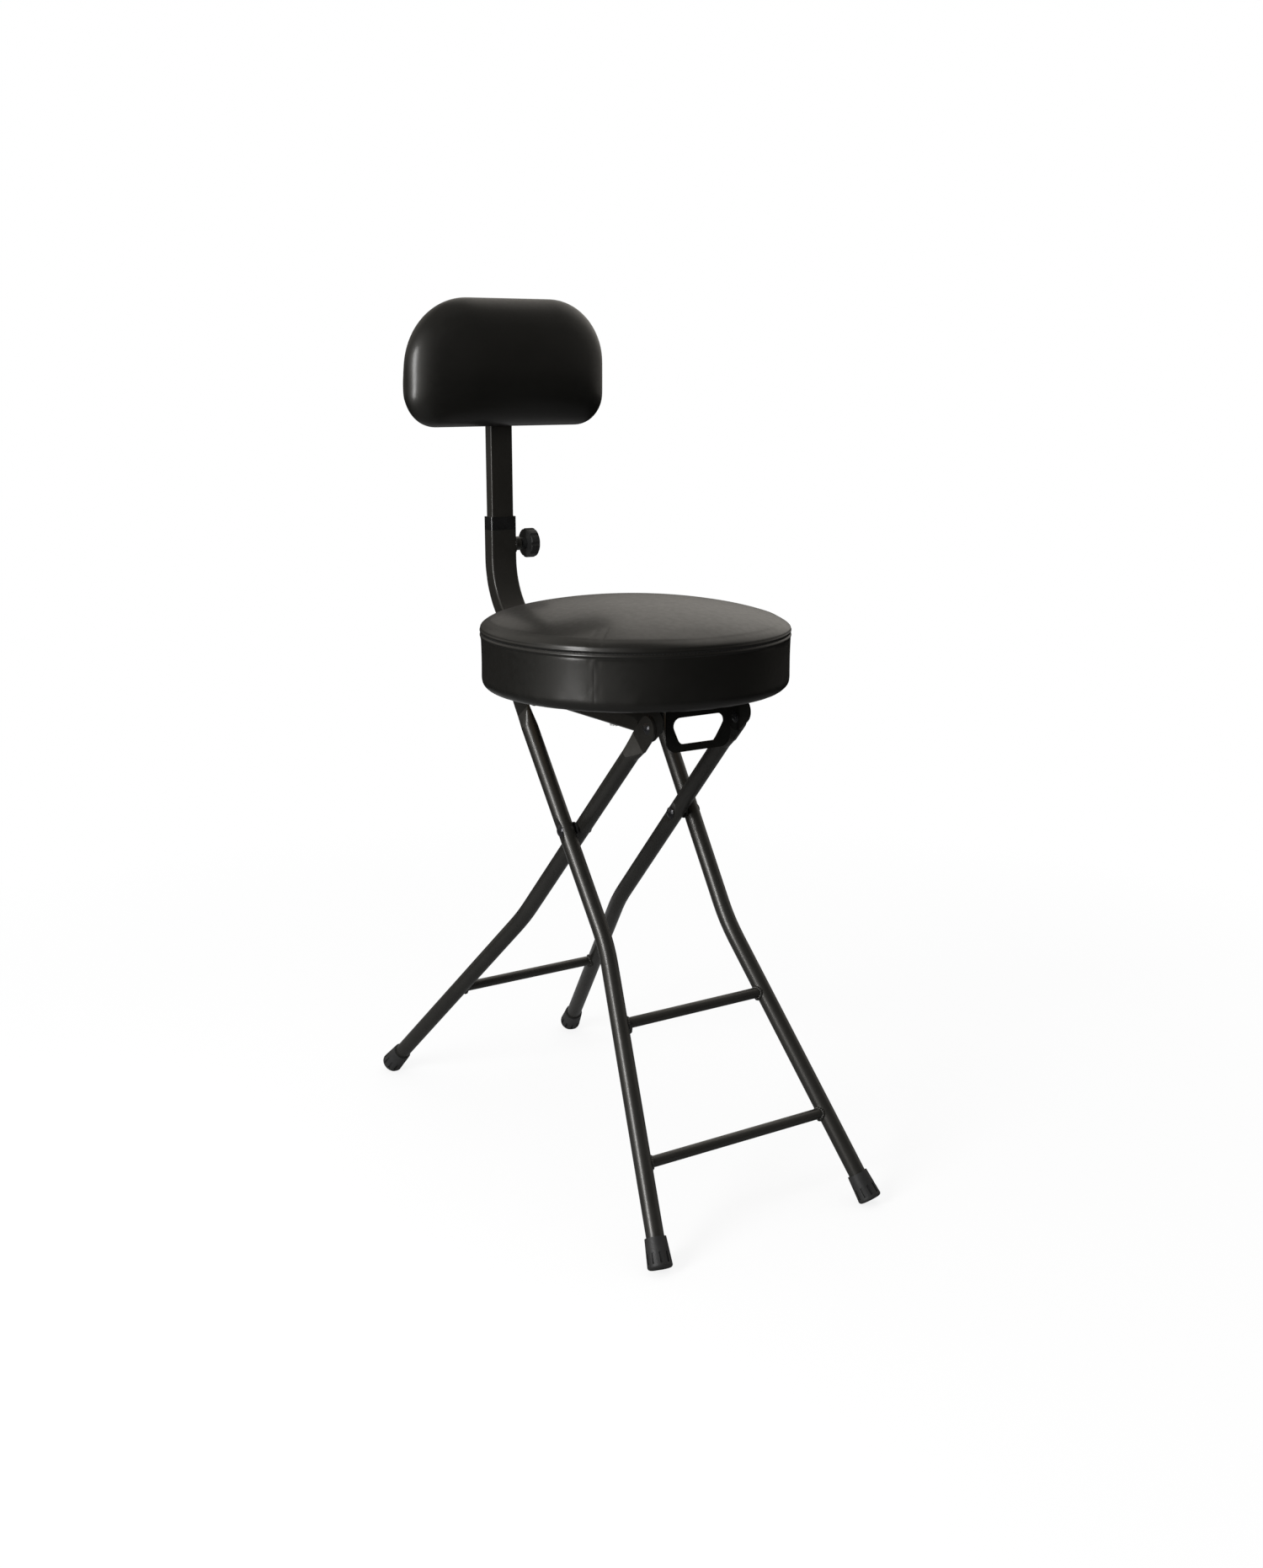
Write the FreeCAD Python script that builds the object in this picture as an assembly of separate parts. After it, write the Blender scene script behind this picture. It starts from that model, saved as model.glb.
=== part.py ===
import FreeCAD, Part
import math
import os
from FreeCAD import Vector as V

# Folding guitar stool: two crossed tube frames, a round padded seat that tips up, and a clamped backrest.
# Lengths are millimetres and angles degrees. +X is right as seen from the front, +Y is the back, +Z is up.
# Everything is drawn with the leg pivot over y = 0 and moved at the end to centre the footprint.

# Leg tubes, rungs and the two frames, measured down or up each frame from the leg pivot
tube_radius = 9.5
tube_wall = 1.5
rung_radius = 6.0
rung_wall = 1.2
tube_bend_radius = 230.0
pivot_height = 397.5
pivot_gap = 2.5
rear_pivot_x = 62.8
front_tilt = 34.7
rear_tilt = 43.0
front_lean = -1.34
rear_lean = 1.34
front_splay = 9.73
rear_splay = 11.35
front_bend_down = 136.9
rear_bend_down = 188.0
front_rungs_down = (224.9, 372.0)
rear_rung_down = 347.8

# Flattened tube ends
flat_thickness = 3.2
flat_half_width = 13.5
flat_crease_gap = 24.0
flat_taper_length = 20.0
flat_facet_angle = 20.0
catch_end_radius = 12.5

# Leg pivots
pivot_rivet_radius = 4.0
pivot_head_radius = 7.0
pivot_head_height = 3.0
pivot_dent_depth = 2.5
pivot_dent_length = 34.0
pivot_crush_half = 22.0
pivot_crush_bore = 4.4
pivot_washer_radius = 8.0

# Rubber feet
foot_height = 31.5
foot_floor = 8.0
foot_top_radius = 11.4
foot_bottom_radius = 13.4
foot_edge_radius = 3.0
foot_flat_depth = 1.2
foot_groove_count = 10
foot_groove_width = 2.6
foot_groove_depth = 2.0
foot_groove_rise = 5.0
foot_groove_height = 11.0

# Seat
hinge_up = 182.0
seat_over_hinge = 23.4
catch_drop = 15.9
seat_y = -11.3
seat_radius = 170.0
seat_foot_radius = 169.8
seat_edge_radius = 12.0
seat_side_height = 64.4
seat_side_draw = 0.4
seat_crown = 27.0
seat_shoulder_rise = 16.0
seat_shoulder_width = 18.0
board_radius = 152.0
board_thickness = 12.0

# Sheet metal under the seat
sheet = 2.0
sheet_bend_radius = 3.6
hinge_rivet_radius = 3.0
hinge_head_radius = 6.0
hinge_head_height = 2.6
flange_depth = 16.0
flange_ear_radius = 14.0
flange_gusset = 16.0
nose_forward = 10.8
nose_up = 9.2
flange_length = 190.0
handle_front = 9.4
handle_half_width = 41.0
handle_depth = 50.7
handle_corner = 12.0
handle_bar = 8.0
hole_top_gap = 14.0
hole_top_half = 37.0
hole_bottom_half = 24.0
hole_corner = 8.5
bracket_gap = 12.0
catch_length = 47.0
catch_ear_x = 80.5
catch_ear_depth = 29.0
catch_pin_radius = 5.0
catch_pin_inner_x = 73.5
catch_shank_radius = 3.0
catch_flare = 38.0
catch_rear_flare = 8.0
screw_radius = 2.2
screw_head_radius = 4.5
screw_head_height = 2.4
screw_length = 11.0
screw_x = 32.0

# Backrest arm, its socket and clamp
arm_width = 35.0
arm_depth = 20.0
arm_wall = 1.5
arm_corner = 3.0
arm_set_back = 303.3
arm_rise = 148.3
arm_straight = 34.3
arm_upper_bend = 92.0
arm_lower_bend = 60.0
arm_slope = 55.0
arm_reach = 188.0
arm_drop = 24.5
saddle_margin = 18.0
bolt_radius = 4.0
bolt_head_radius = 7.5
bolt_head_height = 5.3
bolt_spacing = 50.0
bolt_first = 22.0
tee_flange_radius = 10.0
tee_flange = 1.5
tee_barrel_radius = 5.2
collar_height = 16.0
collar_liner = 12.0
clamp_drop = 18.3
clamp_boss_radius = 8.5
clamp_boss_length = 8.0
clamp_screw_radius = 4.0
knob_radius = 18.0
knob_thickness = 12.0
knob_hub_radius = 6.8
knob_hub_length = 7.0
knob_stand_off = 2.0
knob_scallops = 10
knob_scallop_radius = 3.2
knob_scallop_bite = 1.3
knob_edge = 1.6

# Backrest post and pad
post_width = 30.0
post_depth = 15.0
post_wall = 1.5
post_corner = 2.0
post_insert = 54.3
post_exposed = 109.0
post_behind_pad = 108.0
post_cap_height = 3.0
post_plug_length = 12.0
pad_width = 267.0
pad_height = 148.0
pad_back_depth = 13.2
pad_front_depth = 33.0
pad_top_corner = 73.0
pad_bottom_corner = 38.0
pad_back_inset = 2.8
pad_crown_inset = 62.0
pad_fullness = 2.6
pad_sections = 4
pad_board_inset = 14.0
pad_board_thickness = 9.0
pad_screw_radius = 3.0
pad_screw_head_radius = 6.0
pad_screw_head_height = 3.0
pad_screw_heights = (34.0, 84.0)

# Clearances
running_fit = 0.06
body_gap = 0.3
hinge_gap = 0.5
washer_gap = 0.4
soft_gap = 0.3
slide_gap = 0.3
liner_gap = 0.05

X_AXIS = V(1, 0, 0)
Y_AXIS = V(0, 1, 0)
Z_AXIS = V(0, 0, 1)
ORIGIN = V(0, 0, 0)
SIDES = {"left": -1, "right": 1}


def sin(angle):
    """Sine of an angle in degrees."""
    return math.sin(math.radians(angle))


def cos(angle):
    """Cosine of an angle in degrees."""
    return math.cos(math.radians(angle))


def tan(angle):
    """Tangent of an angle in degrees."""
    return math.tan(math.radians(angle))


# Places worked out from the driving dimensions
front_pivot_x = rear_pivot_x + 2 * tube_radius + pivot_gap
hinge_y = -hinge_up * sin(rear_tilt)
hinge_z = pivot_height + hinge_up * cos(rear_tilt)
hinge_x = rear_pivot_x - hinge_up * tan(rear_lean)
seat_z = hinge_z + seat_over_hinge
catch_z = seat_z - catch_drop
catch_up = (catch_z - pivot_height) / cos(front_tilt)
catch_y = catch_up * sin(front_tilt)
catch_x = front_pivot_x - catch_up * tan(front_lean)
board_top = seat_z + board_thickness
seam_z = seat_z + seat_side_height
plate_z = seat_z - sheet
flange_x = hinge_x - flat_thickness / 2 - hinge_gap
handle_y = hinge_y - handle_front
arm_y = seat_y + arm_set_back
arm_top = seat_z + arm_rise
arm_run_z = plate_z - arm_drop - arm_depth / 2
arm_bend_z = arm_top - arm_straight - arm_upper_bend * tan(arm_slope / 2)
arm_bend_y = arm_y - (arm_bend_z - arm_run_z) * tan(arm_slope)
arm_end_y = arm_bend_y - arm_reach
bracket_rear = handle_y + flange_length
collar_top = arm_top + collar_height
clamp_z = arm_top - clamp_drop
post_bottom = collar_top - post_insert
pad_bottom = collar_top + post_exposed
post_top = pad_bottom + post_behind_pad
pad_back = arm_y - post_depth / 2
knob_x = arm_width / 2 + clamp_boss_length + knob_stand_off + knob_hub_length


def line(start, end):
    """Straight edge."""
    return Part.LineSegment(start, end).toShape()


def arc(start, middle, end):
    """Circular edge through three points."""
    return Part.Arc(start, middle, end).toShape()


def polygon(points):
    """Closed face with straight sides."""
    return Part.Face(Part.makePolygon(list(points) + [points[0]]))


def round_corners(points, radii):
    """Edges along a line of points, with each inner point rounded by its own radius."""
    edges = []
    start = points[0]
    for before, corner, after, radius in zip(points, points[1:], points[2:], radii):
        back = (before - corner).normalize()
        ahead = (after - corner).normalize()
        half = back.getAngle(ahead) / 2
        reach = radius / math.tan(half)
        bisector = (back + ahead).normalize()
        middle = corner + bisector * (radius / math.sin(half) - radius)
        edges.append(line(start, corner + back * reach))
        edges.append(arc(corner + back * reach, middle, corner + ahead * reach))
        start = corner + ahead * reach
    edges.append(line(start, points[-1]))
    return edges


def rounded_face(points, radii):
    """Closed face whose corners have the given radii, starting in the middle of its last side."""
    start = (points[-1] + points[0]) * 0.5
    edges = round_corners([start] + list(points) + [start], radii)
    return Part.Face(Part.Wire(edges))


def rectangle(width, depth, corner, z, y):
    """Rounded rectangle centred on x = 0 at a given y and z, level with the floor."""
    half_w = width / 2
    half_d = depth / 2
    points = [V(-half_w, y - half_d, z), V(half_w, y - half_d, z),
              V(half_w, y + half_d, z), V(-half_w, y + half_d, z)]
    return rounded_face(points, [corner] * 4)


def rectangular_tube(width, depth, wall, corner, low, high, y):
    """Upright rectangular tube between two heights."""
    outer = rectangle(width, depth, corner, low, y).extrude(V(0, 0, high - low))
    inner_corner = max(corner - wall, 0.4)
    inner = rectangle(width - 2 * wall, depth - 2 * wall, inner_corner, low, y).extrude(V(0, 0, high - low))
    return outer.cut(inner)


def pipe(edges, radius):
    """Round bar along a path."""
    path = Part.Wire(edges)
    first = path.OrderedEdges[0]
    start = first.valueAt(first.FirstParameter)
    section = Part.Wire(Part.makeCircle(radius, start, first.tangentAt(first.FirstParameter)))
    return path.makePipeShell([section], True, False)


def revolve(edges, centre, axis):
    """Solid of revolution of a closed profile."""
    return Part.Face(Part.Wire(edges)).revolve(centre, axis, 360)


def dome_arc(base, side, radius, axis, height):
    """Arc of a ball-shaped cap, from its rim to its crest on the axis through the base point."""
    ball = (radius ** 2 + height ** 2) / (2 * height)
    half = math.degrees(math.asin(radius / ball)) / 2
    middle = base + side * (ball * sin(half)) + axis * (height - ball * (1 - cos(half)))
    return arc(base + side * radius, middle, base + axis * height)


def rivet_head(radius, height, base, axis):
    """Domed head whose flat side is at the base point."""
    side = axis.cross(Z_AXIS if abs(axis.z) < 0.9 else X_AXIS).normalize()
    crest = base + axis * height
    edges = [line(base, base + side * radius), dome_arc(base, side, radius, axis, height), line(crest, base)]
    return revolve(edges, base, axis)


def mirror_pair(shape):
    """A solid and its mirror image across the middle of the stool."""
    return [shape, shape.mirror(ORIGIN, X_AXIS)]


class LegFrame:
    """One pair of legs, drawn upright with the pivot at the origin and then tilted into place."""

    def __init__(self, pivot_x, tilt, turn, lean, splay, bend_down, end_up, end_radius):
        self.pivot_x = pivot_x
        self.turn = turn
        self.lean = lean
        self.bend_down = bend_down
        self.splay = splay
        self.end_up = end_up
        self.end_radius = end_radius
        self.crease_up = end_up - flat_crease_gap
        self.round_up = self.crease_up - flat_taper_length
        slant = math.degrees(math.acos(cos(tilt) * cos(splay)))
        rim_drop = (foot_bottom_radius - foot_edge_radius) * sin(slant) + foot_edge_radius * (1 - cos(slant))
        self.foot_down = (pivot_height - rim_drop + foot_flat_depth) / cos(tilt)

    def centre_x(self, up):
        """Distance of the tube's centre line from the middle of the stool, at a height along the frame."""
        bend_x = self.pivot_x + self.bend_down * tan(self.lean)
        if up >= -self.bend_down:
            return self.pivot_x - up * tan(self.lean)
        return bend_x - (up + self.bend_down) * tan(self.splay)

    def point(self, up):
        """Point on the right tube's centre line."""
        return V(self.centre_x(up), 0, up)

    def foot_axis(self):
        """Direction of the lower tube, from the foot upwards."""
        return (self.point(-self.bend_down) - self.point(-self.foot_down)).normalize()

    def tube_end(self):
        """Lower end of the tube, on the floor of its rubber foot."""
        return self.point(-self.foot_down) + self.foot_axis() * foot_floor

    def lower_path(self, up):
        """Centre line from the lower end, round the bend and up the straight part."""
        points = [self.tube_end(), self.point(-self.bend_down), self.point(up)]
        return round_corners(points, [tube_bend_radius])

    def bar(self):
        """Right tube as a solid bar, up to where it starts to flatten."""
        return pipe(self.lower_path(self.round_up), tube_radius)

    def flat_end(self):
        """Tube end pressed flat: a ruled taper from the round section, then a plate with a round tip."""
        low = self.point(self.round_up)
        plate_x = self.centre_x(self.end_up)
        angles = [flat_facet_angle, -flat_facet_angle, -180 + flat_facet_angle, 180 - flat_facet_angle]
        middles = [0, -90, 180, 90]
        ring = [low + V(cos(a), sin(a), 0) * tube_radius for a in angles]
        tops = [low + V(cos(a), sin(a), 0) * tube_radius for a in middles]
        arcs = [arc(ring[i], tops[i], ring[(i + 1) % 4]) for i in range(4)]
        half = flat_thickness / 2
        wide = flat_half_width
        corners = [V(plate_x + half, wide, self.crease_up), V(plate_x + half, -wide, self.crease_up),
                   V(plate_x - half, -wide, self.crease_up), V(plate_x - half, wide, self.crease_up)]
        taper = Part.makeLoft([Part.Wire(arcs), Part.makePolygon(corners + corners[:1])], True, True)
        inner_x = plate_x - half
        tip = self.end_up + self.end_radius
        edges = [line(V(inner_x, -wide, self.crease_up), V(inner_x, wide, self.crease_up)),
                 line(V(inner_x, wide, self.crease_up), V(inner_x, wide, self.end_up)),
                 arc(V(inner_x, wide, self.end_up), V(inner_x, 0, tip), V(inner_x, -wide, self.end_up)),
                 line(V(inner_x, -wide, self.end_up), V(inner_x, -wide, self.crease_up))]
        plate = Part.Face(Part.Wire(edges)).extrude(V(flat_thickness, 0, 0))
        return taper.fuse(plate)

    def bore(self):
        """Hollow of the tube, narrower where the tube is crushed at the pivot."""
        inner = tube_radius - tube_wall
        lower = pipe(self.lower_path(-pivot_crush_half), inner)
        neck = pipe([line(self.point(-pivot_crush_half), self.point(pivot_crush_half))], pivot_crush_bore)
        upper = pipe([line(self.point(pivot_crush_half), self.point(self.round_up))], inner)
        return [lower, neck, upper]

    def dent(self, outward):
        """Cutter for the pressed hollow that the pivot rivet's head sits in."""
        radius = (pivot_dent_length ** 2 / 4 + pivot_dent_depth ** 2) / (2 * pivot_dent_depth)
        centre_x = self.pivot_x + outward * (tube_radius - pivot_dent_depth + radius)
        return Part.makeCylinder(radius, 4 * tube_radius, V(centre_x, -2 * tube_radius, 0), Y_AXIS)

    def leg(self, outward, pivot_hole, end_hole):
        """Right leg: bent tube with a flat end, a dent at the pivot and its two rivet holes."""
        solid = self.bar().fuse(self.flat_end()).removeSplitter()
        span = 4 * tube_radius
        holes = [Part.makeCylinder(pivot_hole, span, V(self.pivot_x - span / 2, 0, 0), X_AXIS),
                 Part.makeCylinder(end_hole, span, self.point(self.end_up) - X_AXIS * (span / 2), X_AXIS)]
        return solid.cut(self.bore() + holes + [self.dent(outward)])

    def rung(self, down):
        """Cross tube between the two legs, with its ends shaped to the leg tubes."""
        half = self.centre_x(-down)
        outer = Part.makeCylinder(rung_radius, 2 * half, V(-half, 0, -down), X_AXIS)
        bore = Part.makeCylinder(rung_radius - rung_wall, 2 * half, V(-half, 0, -down), X_AXIS)
        return outer.cut([bore] + mirror_pair(self.bar()))

    def foot(self):
        """Right rubber foot: a tapered boot with a blind socket and moulded grooves above its sole."""
        profile = [V(0, 0, 0), V(foot_bottom_radius, 0, 0), V(foot_top_radius, 0, foot_height),
                   V(tube_radius, 0, foot_height), V(tube_radius, 0, foot_floor), V(0, 0, foot_floor)]
        edges = round_corners(profile[:3], [foot_edge_radius])
        edges += [line(a, b) for a, b in zip(profile[2:], profile[3:] + profile[:1])]
        boot = revolve(edges, ORIGIN, Z_AXIS)
        corner = V(foot_bottom_radius - foot_groove_depth, -foot_groove_width / 2, foot_groove_rise)
        groove = Part.makeBox(foot_groove_depth * 2, foot_groove_width, foot_groove_height, corner)
        grooves = []
        for index in range(foot_groove_count):
            cutter = groove.copy()
            cutter.rotate(ORIGIN, Z_AXIS, index * 360 / foot_groove_count)
            grooves.append(cutter)
        boot = boot.cut(grooves)
        boot.rotate(ORIGIN, Y_AXIS, -self.splay)
        boot.translate(self.point(-self.foot_down))
        return boot

    def stand(self, shape):
        """Tilt a piece of this frame and lift it to the pivot."""
        placed = shape.copy()
        placed.rotate(ORIGIN, X_AXIS, self.turn)
        placed.translate(V(0, 0, pivot_height))
        return placed


def flat_on_floor(foot):
    """Trim a standing foot to the floor, which leaves its flat wear face."""
    reach = 2 * pivot_height
    below = Part.makeBox(2 * reach, 2 * reach, reach, V(-reach, -reach, -reach))
    return foot.cut(below)


def pivot_rivets(rear, front):
    """Rivets through the crossing tubes, with a head in each tube's dent."""
    dent_radius = (pivot_dent_length ** 2 / 4 + pivot_dent_depth ** 2) / (2 * pivot_dent_depth)
    seat_depth = pivot_dent_depth - pivot_head_radius ** 2 / (2 * dent_radius)
    outer = front.pivot_x + tube_radius - seat_depth + running_fit
    inner = rear.pivot_x - tube_radius + seat_depth - body_gap
    at = V(inner, 0, pivot_height)
    shank = Part.makeCylinder(pivot_rivet_radius, outer - inner, at, X_AXIS)
    heads = [rivet_head(pivot_head_radius, pivot_head_height, V(outer, 0, pivot_height), X_AXIS),
             rivet_head(pivot_head_radius, pivot_head_height, at, -X_AXIS)]
    return shank.fuse(heads).removeSplitter()


def pivot_washer(rear):
    """Washer on the rivet between the two crossing tubes."""
    start = rear.pivot_x + tube_radius + washer_gap
    thickness = pivot_gap - washer_gap - body_gap
    disc = Part.makeCylinder(pivot_washer_radius, thickness, V(start, 0, pivot_height), X_AXIS)
    hole = Part.makeCylinder(pivot_rivet_radius + running_fit, thickness, V(start, 0, pivot_height), X_AXIS)
    return disc.cut(hole)


def hinge_rivet():
    """Rivet that carries the seat bracket on the flattened end of a rear leg."""
    outer = hinge_x + flat_thickness / 2
    inner = flange_x - sheet - body_gap
    at = V(inner, hinge_y, hinge_z)
    shank = Part.makeCylinder(hinge_rivet_radius, outer - inner, at, X_AXIS)
    heads = [rivet_head(hinge_head_radius, hinge_head_height, V(outer, hinge_y, hinge_z), X_AXIS),
             rivet_head(hinge_head_radius, hinge_head_height, at, -X_AXIS)]
    return shank.fuse(heads).removeSplitter()


def catch_pin():
    """Shouldered pin on the flattened end of a front leg, which the seat's catch sits on."""
    outer = catch_x + flat_thickness / 2
    shoulder = catch_x - flat_thickness / 2
    at = V(catch_pin_inner_x, catch_y, catch_z)
    pin = Part.makeCylinder(catch_pin_radius, shoulder - catch_pin_inner_x, at, X_AXIS)
    shank = Part.makeCylinder(catch_shank_radius, outer - catch_pin_inner_x, at, X_AXIS)
    head = rivet_head(hinge_head_radius, hinge_head_height, V(outer, catch_y, catch_z), X_AXIS)
    return pin.fuse([shank, head]).removeSplitter()


def channel(half_width, depth, front, length):
    """Sheet bent to an upside-down U under the seat, with rounded bends."""
    low = seat_z - depth
    outer = [V(-half_width, front, low), V(-half_width, front, seat_z),
             V(half_width, front, seat_z), V(half_width, front, low)]
    inset = half_width - sheet
    inner = [V(inset, front, low), V(inset, front, plate_z), V(-inset, front, plate_z), V(-inset, front, low)]
    bend = [sheet_bend_radius, sheet_bend_radius]
    inside_bend = [sheet_bend_radius - sheet] * 2
    edges = round_corners(outer, bend) + [line(outer[-1], inner[0])]
    edges += round_corners(inner, inside_bend) + [line(inner[-1], outer[0])]
    return Part.Face(Part.Wire(edges)).extrude(V(0, length, 0))


def handle_tab():
    """Front tab of the hinge bracket, with the hand hole that serves as a carrying loop."""
    low = seat_z - handle_depth
    wide = handle_half_width
    outline = [V(-wide, handle_y, plate_z), V(-wide, handle_y, low),
               V(wide, handle_y, low), V(wide, handle_y, plate_z)]
    edges = round_corners(outline, [handle_corner] * 2) + [line(outline[-1], outline[0])]
    tab = Part.Face(Part.Wire(edges)).extrude(V(0, sheet, 0))
    hole_top = seat_z - hole_top_gap
    hole_low = low + handle_bar
    corners = [V(-hole_top_half, handle_y, hole_top), V(-hole_bottom_half, handle_y, hole_low),
               V(hole_bottom_half, handle_y, hole_low), V(hole_top_half, handle_y, hole_top)]
    hole = rounded_face(corners, [hole_corner] * 4).extrude(V(0, sheet, 0))
    return tab.cut(hole)


def hinge_ear():
    """Ear of the right flange, round about the hinge rivet, with a round nose and a gusset."""
    rivet = V(flange_x - sheet, hinge_y, hinge_z)
    nose = rivet + V(0, -nose_forward, nose_up)
    side = V(0, nose_up, nose_forward).normalize() * flange_ear_radius
    low = seat_z - flange_depth
    back = rivet + Y_AXIS * flange_ear_radius
    thick = X_AXIS * sheet
    heel = V(rivet.x, back.y + flange_gusset, low)
    gusset = polygon([rivet, back, heel, V(rivet.x, hinge_y, low)]).extrude(thick)
    neck = polygon([rivet - side, rivet + side, nose + side, nose - side]).extrude(thick)
    discs = [Part.makeCylinder(flange_ear_radius, sheet, at, X_AXIS) for at in (rivet, nose)]
    return neck.fuse(discs + [gusset]).removeSplitter()


def arm_saddle():
    """Sheet metal saddle under the bracket's plate that carries the backrest arm."""
    half = arm_width / 2
    inset = half - sheet
    low = plate_z - arm_drop
    front = bolt_places(low)[0].y - saddle_margin
    outer = [V(-half, front, plate_z), V(-half, front, low), V(half, front, low), V(half, front, plate_z)]
    floor = low + sheet
    inner = [V(inset, front, plate_z), V(inset, front, floor),
             V(-inset, front, floor), V(-inset, front, plate_z)]
    edges = round_corners(outer, [sheet_bend_radius] * 2) + [line(outer[-1], inner[0])]
    edges += round_corners(inner, [sheet_bend_radius - sheet] * 2) + [line(inner[-1], outer[0])]
    return Part.Face(Part.Wire(edges)).extrude(V(0, bolt_spacing + 2 * saddle_margin, 0))


def hinge_bracket():
    """Stamped bracket: a channel with hinge ears, a front tab with a hand hole and a saddle for the arm."""
    pan = channel(flange_x, flange_depth, handle_y, flange_length)
    low = seat_z - flange_depth
    heel = flange_depth - sheet_bend_radius
    side = -flange_x
    corner = [V(side, bracket_rear, low), V(side, bracket_rear - heel, low),
              V(side, bracket_rear, low + heel)]
    rear_trim = polygon(corner).extrude(V(2 * flange_x, 0, 0))
    bracket = pan.fuse(mirror_pair(hinge_ear()) + [handle_tab(), arm_saddle()])
    hole_span = 2 * flange_x
    holes = [rear_trim, Part.makeCylinder(hinge_rivet_radius + running_fit, hole_span,
                                          V(-hole_span / 2, hinge_y, hinge_z), X_AXIS)]
    holes += [Part.makeCylinder(screw_radius + running_fit, sheet, at, Z_AXIS) for at in hinge_screw_places()]
    holes += [Part.makeCylinder(bolt_radius + running_fit, arm_drop + sheet, at, Z_AXIS)
              for at in bolt_places(plate_z - arm_drop)]
    return bracket.cut(holes).removeSplitter()


def catch_bracket():
    """Rear bracket whose ears have open notches that drop over the pins of the front legs."""
    front = catch_y - catch_length / 2
    pan = channel(catch_ear_x, catch_ear_depth, front, catch_length)
    radius = catch_pin_radius + body_gap
    side = -catch_ear_x
    below = seat_z - 2 * catch_ear_depth
    drop = catch_z - below
    ahead = V(side, catch_y - radius * cos(catch_flare), catch_z + radius * sin(catch_flare))
    behind = V(side, catch_y + radius * cos(catch_rear_flare), catch_z + radius * sin(catch_rear_flare))
    ahead_low = V(side, ahead.y - (drop + radius) * tan(catch_flare), below)
    behind_low = V(side, behind.y + (drop + radius) * tan(catch_rear_flare), below)
    edges = [arc(ahead, V(side, catch_y, catch_z + radius), behind), line(behind, behind_low),
             line(behind_low, ahead_low), line(ahead_low, ahead)]
    notch = Part.Face(Part.Wire(edges)).extrude(V(2 * catch_ear_x, 0, 0))
    holes = [Part.makeCylinder(screw_radius + running_fit, sheet, at, Z_AXIS) for at in catch_screw_places()]
    room = flange_x + bracket_gap
    bracket_room = Part.makeBox(2 * room, flange_length + bracket_gap, 2 * catch_ear_depth,
                                V(-room, handle_y, below))
    return pan.cut([notch, bracket_room] + holes)


def hinge_screw_places():
    """Places of the screws through the hinge bracket's plate."""
    margin = flange_x - screw_x
    rows = (handle_y + margin, bracket_rear - margin)
    return [V(x, y, plate_z) for x in (-screw_x, screw_x) for y in rows]


def catch_screw_places():
    """Places of the screws through the catch bracket's plate."""
    return [V(x, catch_y, plate_z) for x in (-screw_x, screw_x)] + [
        V(x, catch_y, plate_z) for x in (-2 * screw_x, 2 * screw_x)]


def bolt_places(height):
    """Places of the two bolts that hold the backrest arm under the seat."""
    return [V(0, arm_end_y + bolt_first + along, height) for along in (0, bolt_spacing)]


def bracket_screws():
    """Pan-head screws driven up into the seat board."""
    screws = []
    for at in hinge_screw_places() + catch_screw_places():
        shank = Part.makeCylinder(screw_radius, screw_length, at, Z_AXIS)
        head = rivet_head(screw_head_radius, screw_head_height, at, -Z_AXIS)
        screws.append(shank.fuse(head).removeSplitter())
    return Part.makeCompound(screws)


def seat_board():
    """Round board that the seat is upholstered on, drilled for the screws and the tee nuts."""
    board = Part.makeCylinder(board_radius, board_thickness, V(0, seat_y, seat_z), Z_AXIS)
    pilot = screw_radius + running_fit
    holes = [Part.makeCylinder(pilot, screw_length - sheet, V(at.x, at.y, seat_z), Z_AXIS)
             for at in hinge_screw_places() + catch_screw_places()]
    for at in bolt_places(seat_z):
        holes.append(Part.makeCylinder(tee_barrel_radius + running_fit, board_thickness, at, Z_AXIS))
        holes.append(Part.makeCylinder(tee_flange_radius + running_fit, tee_flange,
                                       V(at.x, at.y, board_top - tee_flange), Z_AXIS))
    return board.cut(holes)


def seat_cushion():
    """Round cushion: wrapped lower edge, drawn-in side, seam and crowned top, with a pocket for the board."""
    pocket = board_radius + soft_gap

    def at(radius, height):
        """Point of the profile."""
        return V(radius, seat_y, height)

    foot = seat_foot_radius
    edge = seat_edge_radius
    turn = edge * (1 - cos(45))
    side_mid = (foot + seat_radius) / 2 - seat_side_draw
    side_mid_z = (seat_z + edge + seam_z) / 2
    shoulder = seat_radius - seat_shoulder_width
    roll = at(seat_radius - seat_shoulder_width * (1 - cos(45)), seam_z + seat_shoulder_rise * sin(45))
    crest = seam_z + seat_crown
    dome_base = at(0, seam_z + seat_shoulder_rise)
    dome = dome_arc(dome_base, X_AXIS, shoulder, Z_AXIS, seat_crown - seat_shoulder_rise)
    edges = [line(at(pocket, seat_z), at(foot - edge, seat_z)),
             arc(at(foot - edge, seat_z), at(foot - turn, seat_z + turn), at(foot, seat_z + edge)),
             arc(at(foot, seat_z + edge), at(side_mid, side_mid_z), at(seat_radius, seam_z)),
             arc(at(seat_radius, seam_z), roll, at(shoulder, seam_z + seat_shoulder_rise)),
             dome,
             line(at(0, crest), at(0, board_top)),
             line(at(0, board_top), at(pocket, board_top)),
             line(at(pocket, board_top), at(pocket, seat_z))]
    return revolve(edges, V(0, seat_y, 0), Z_AXIS)


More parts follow.
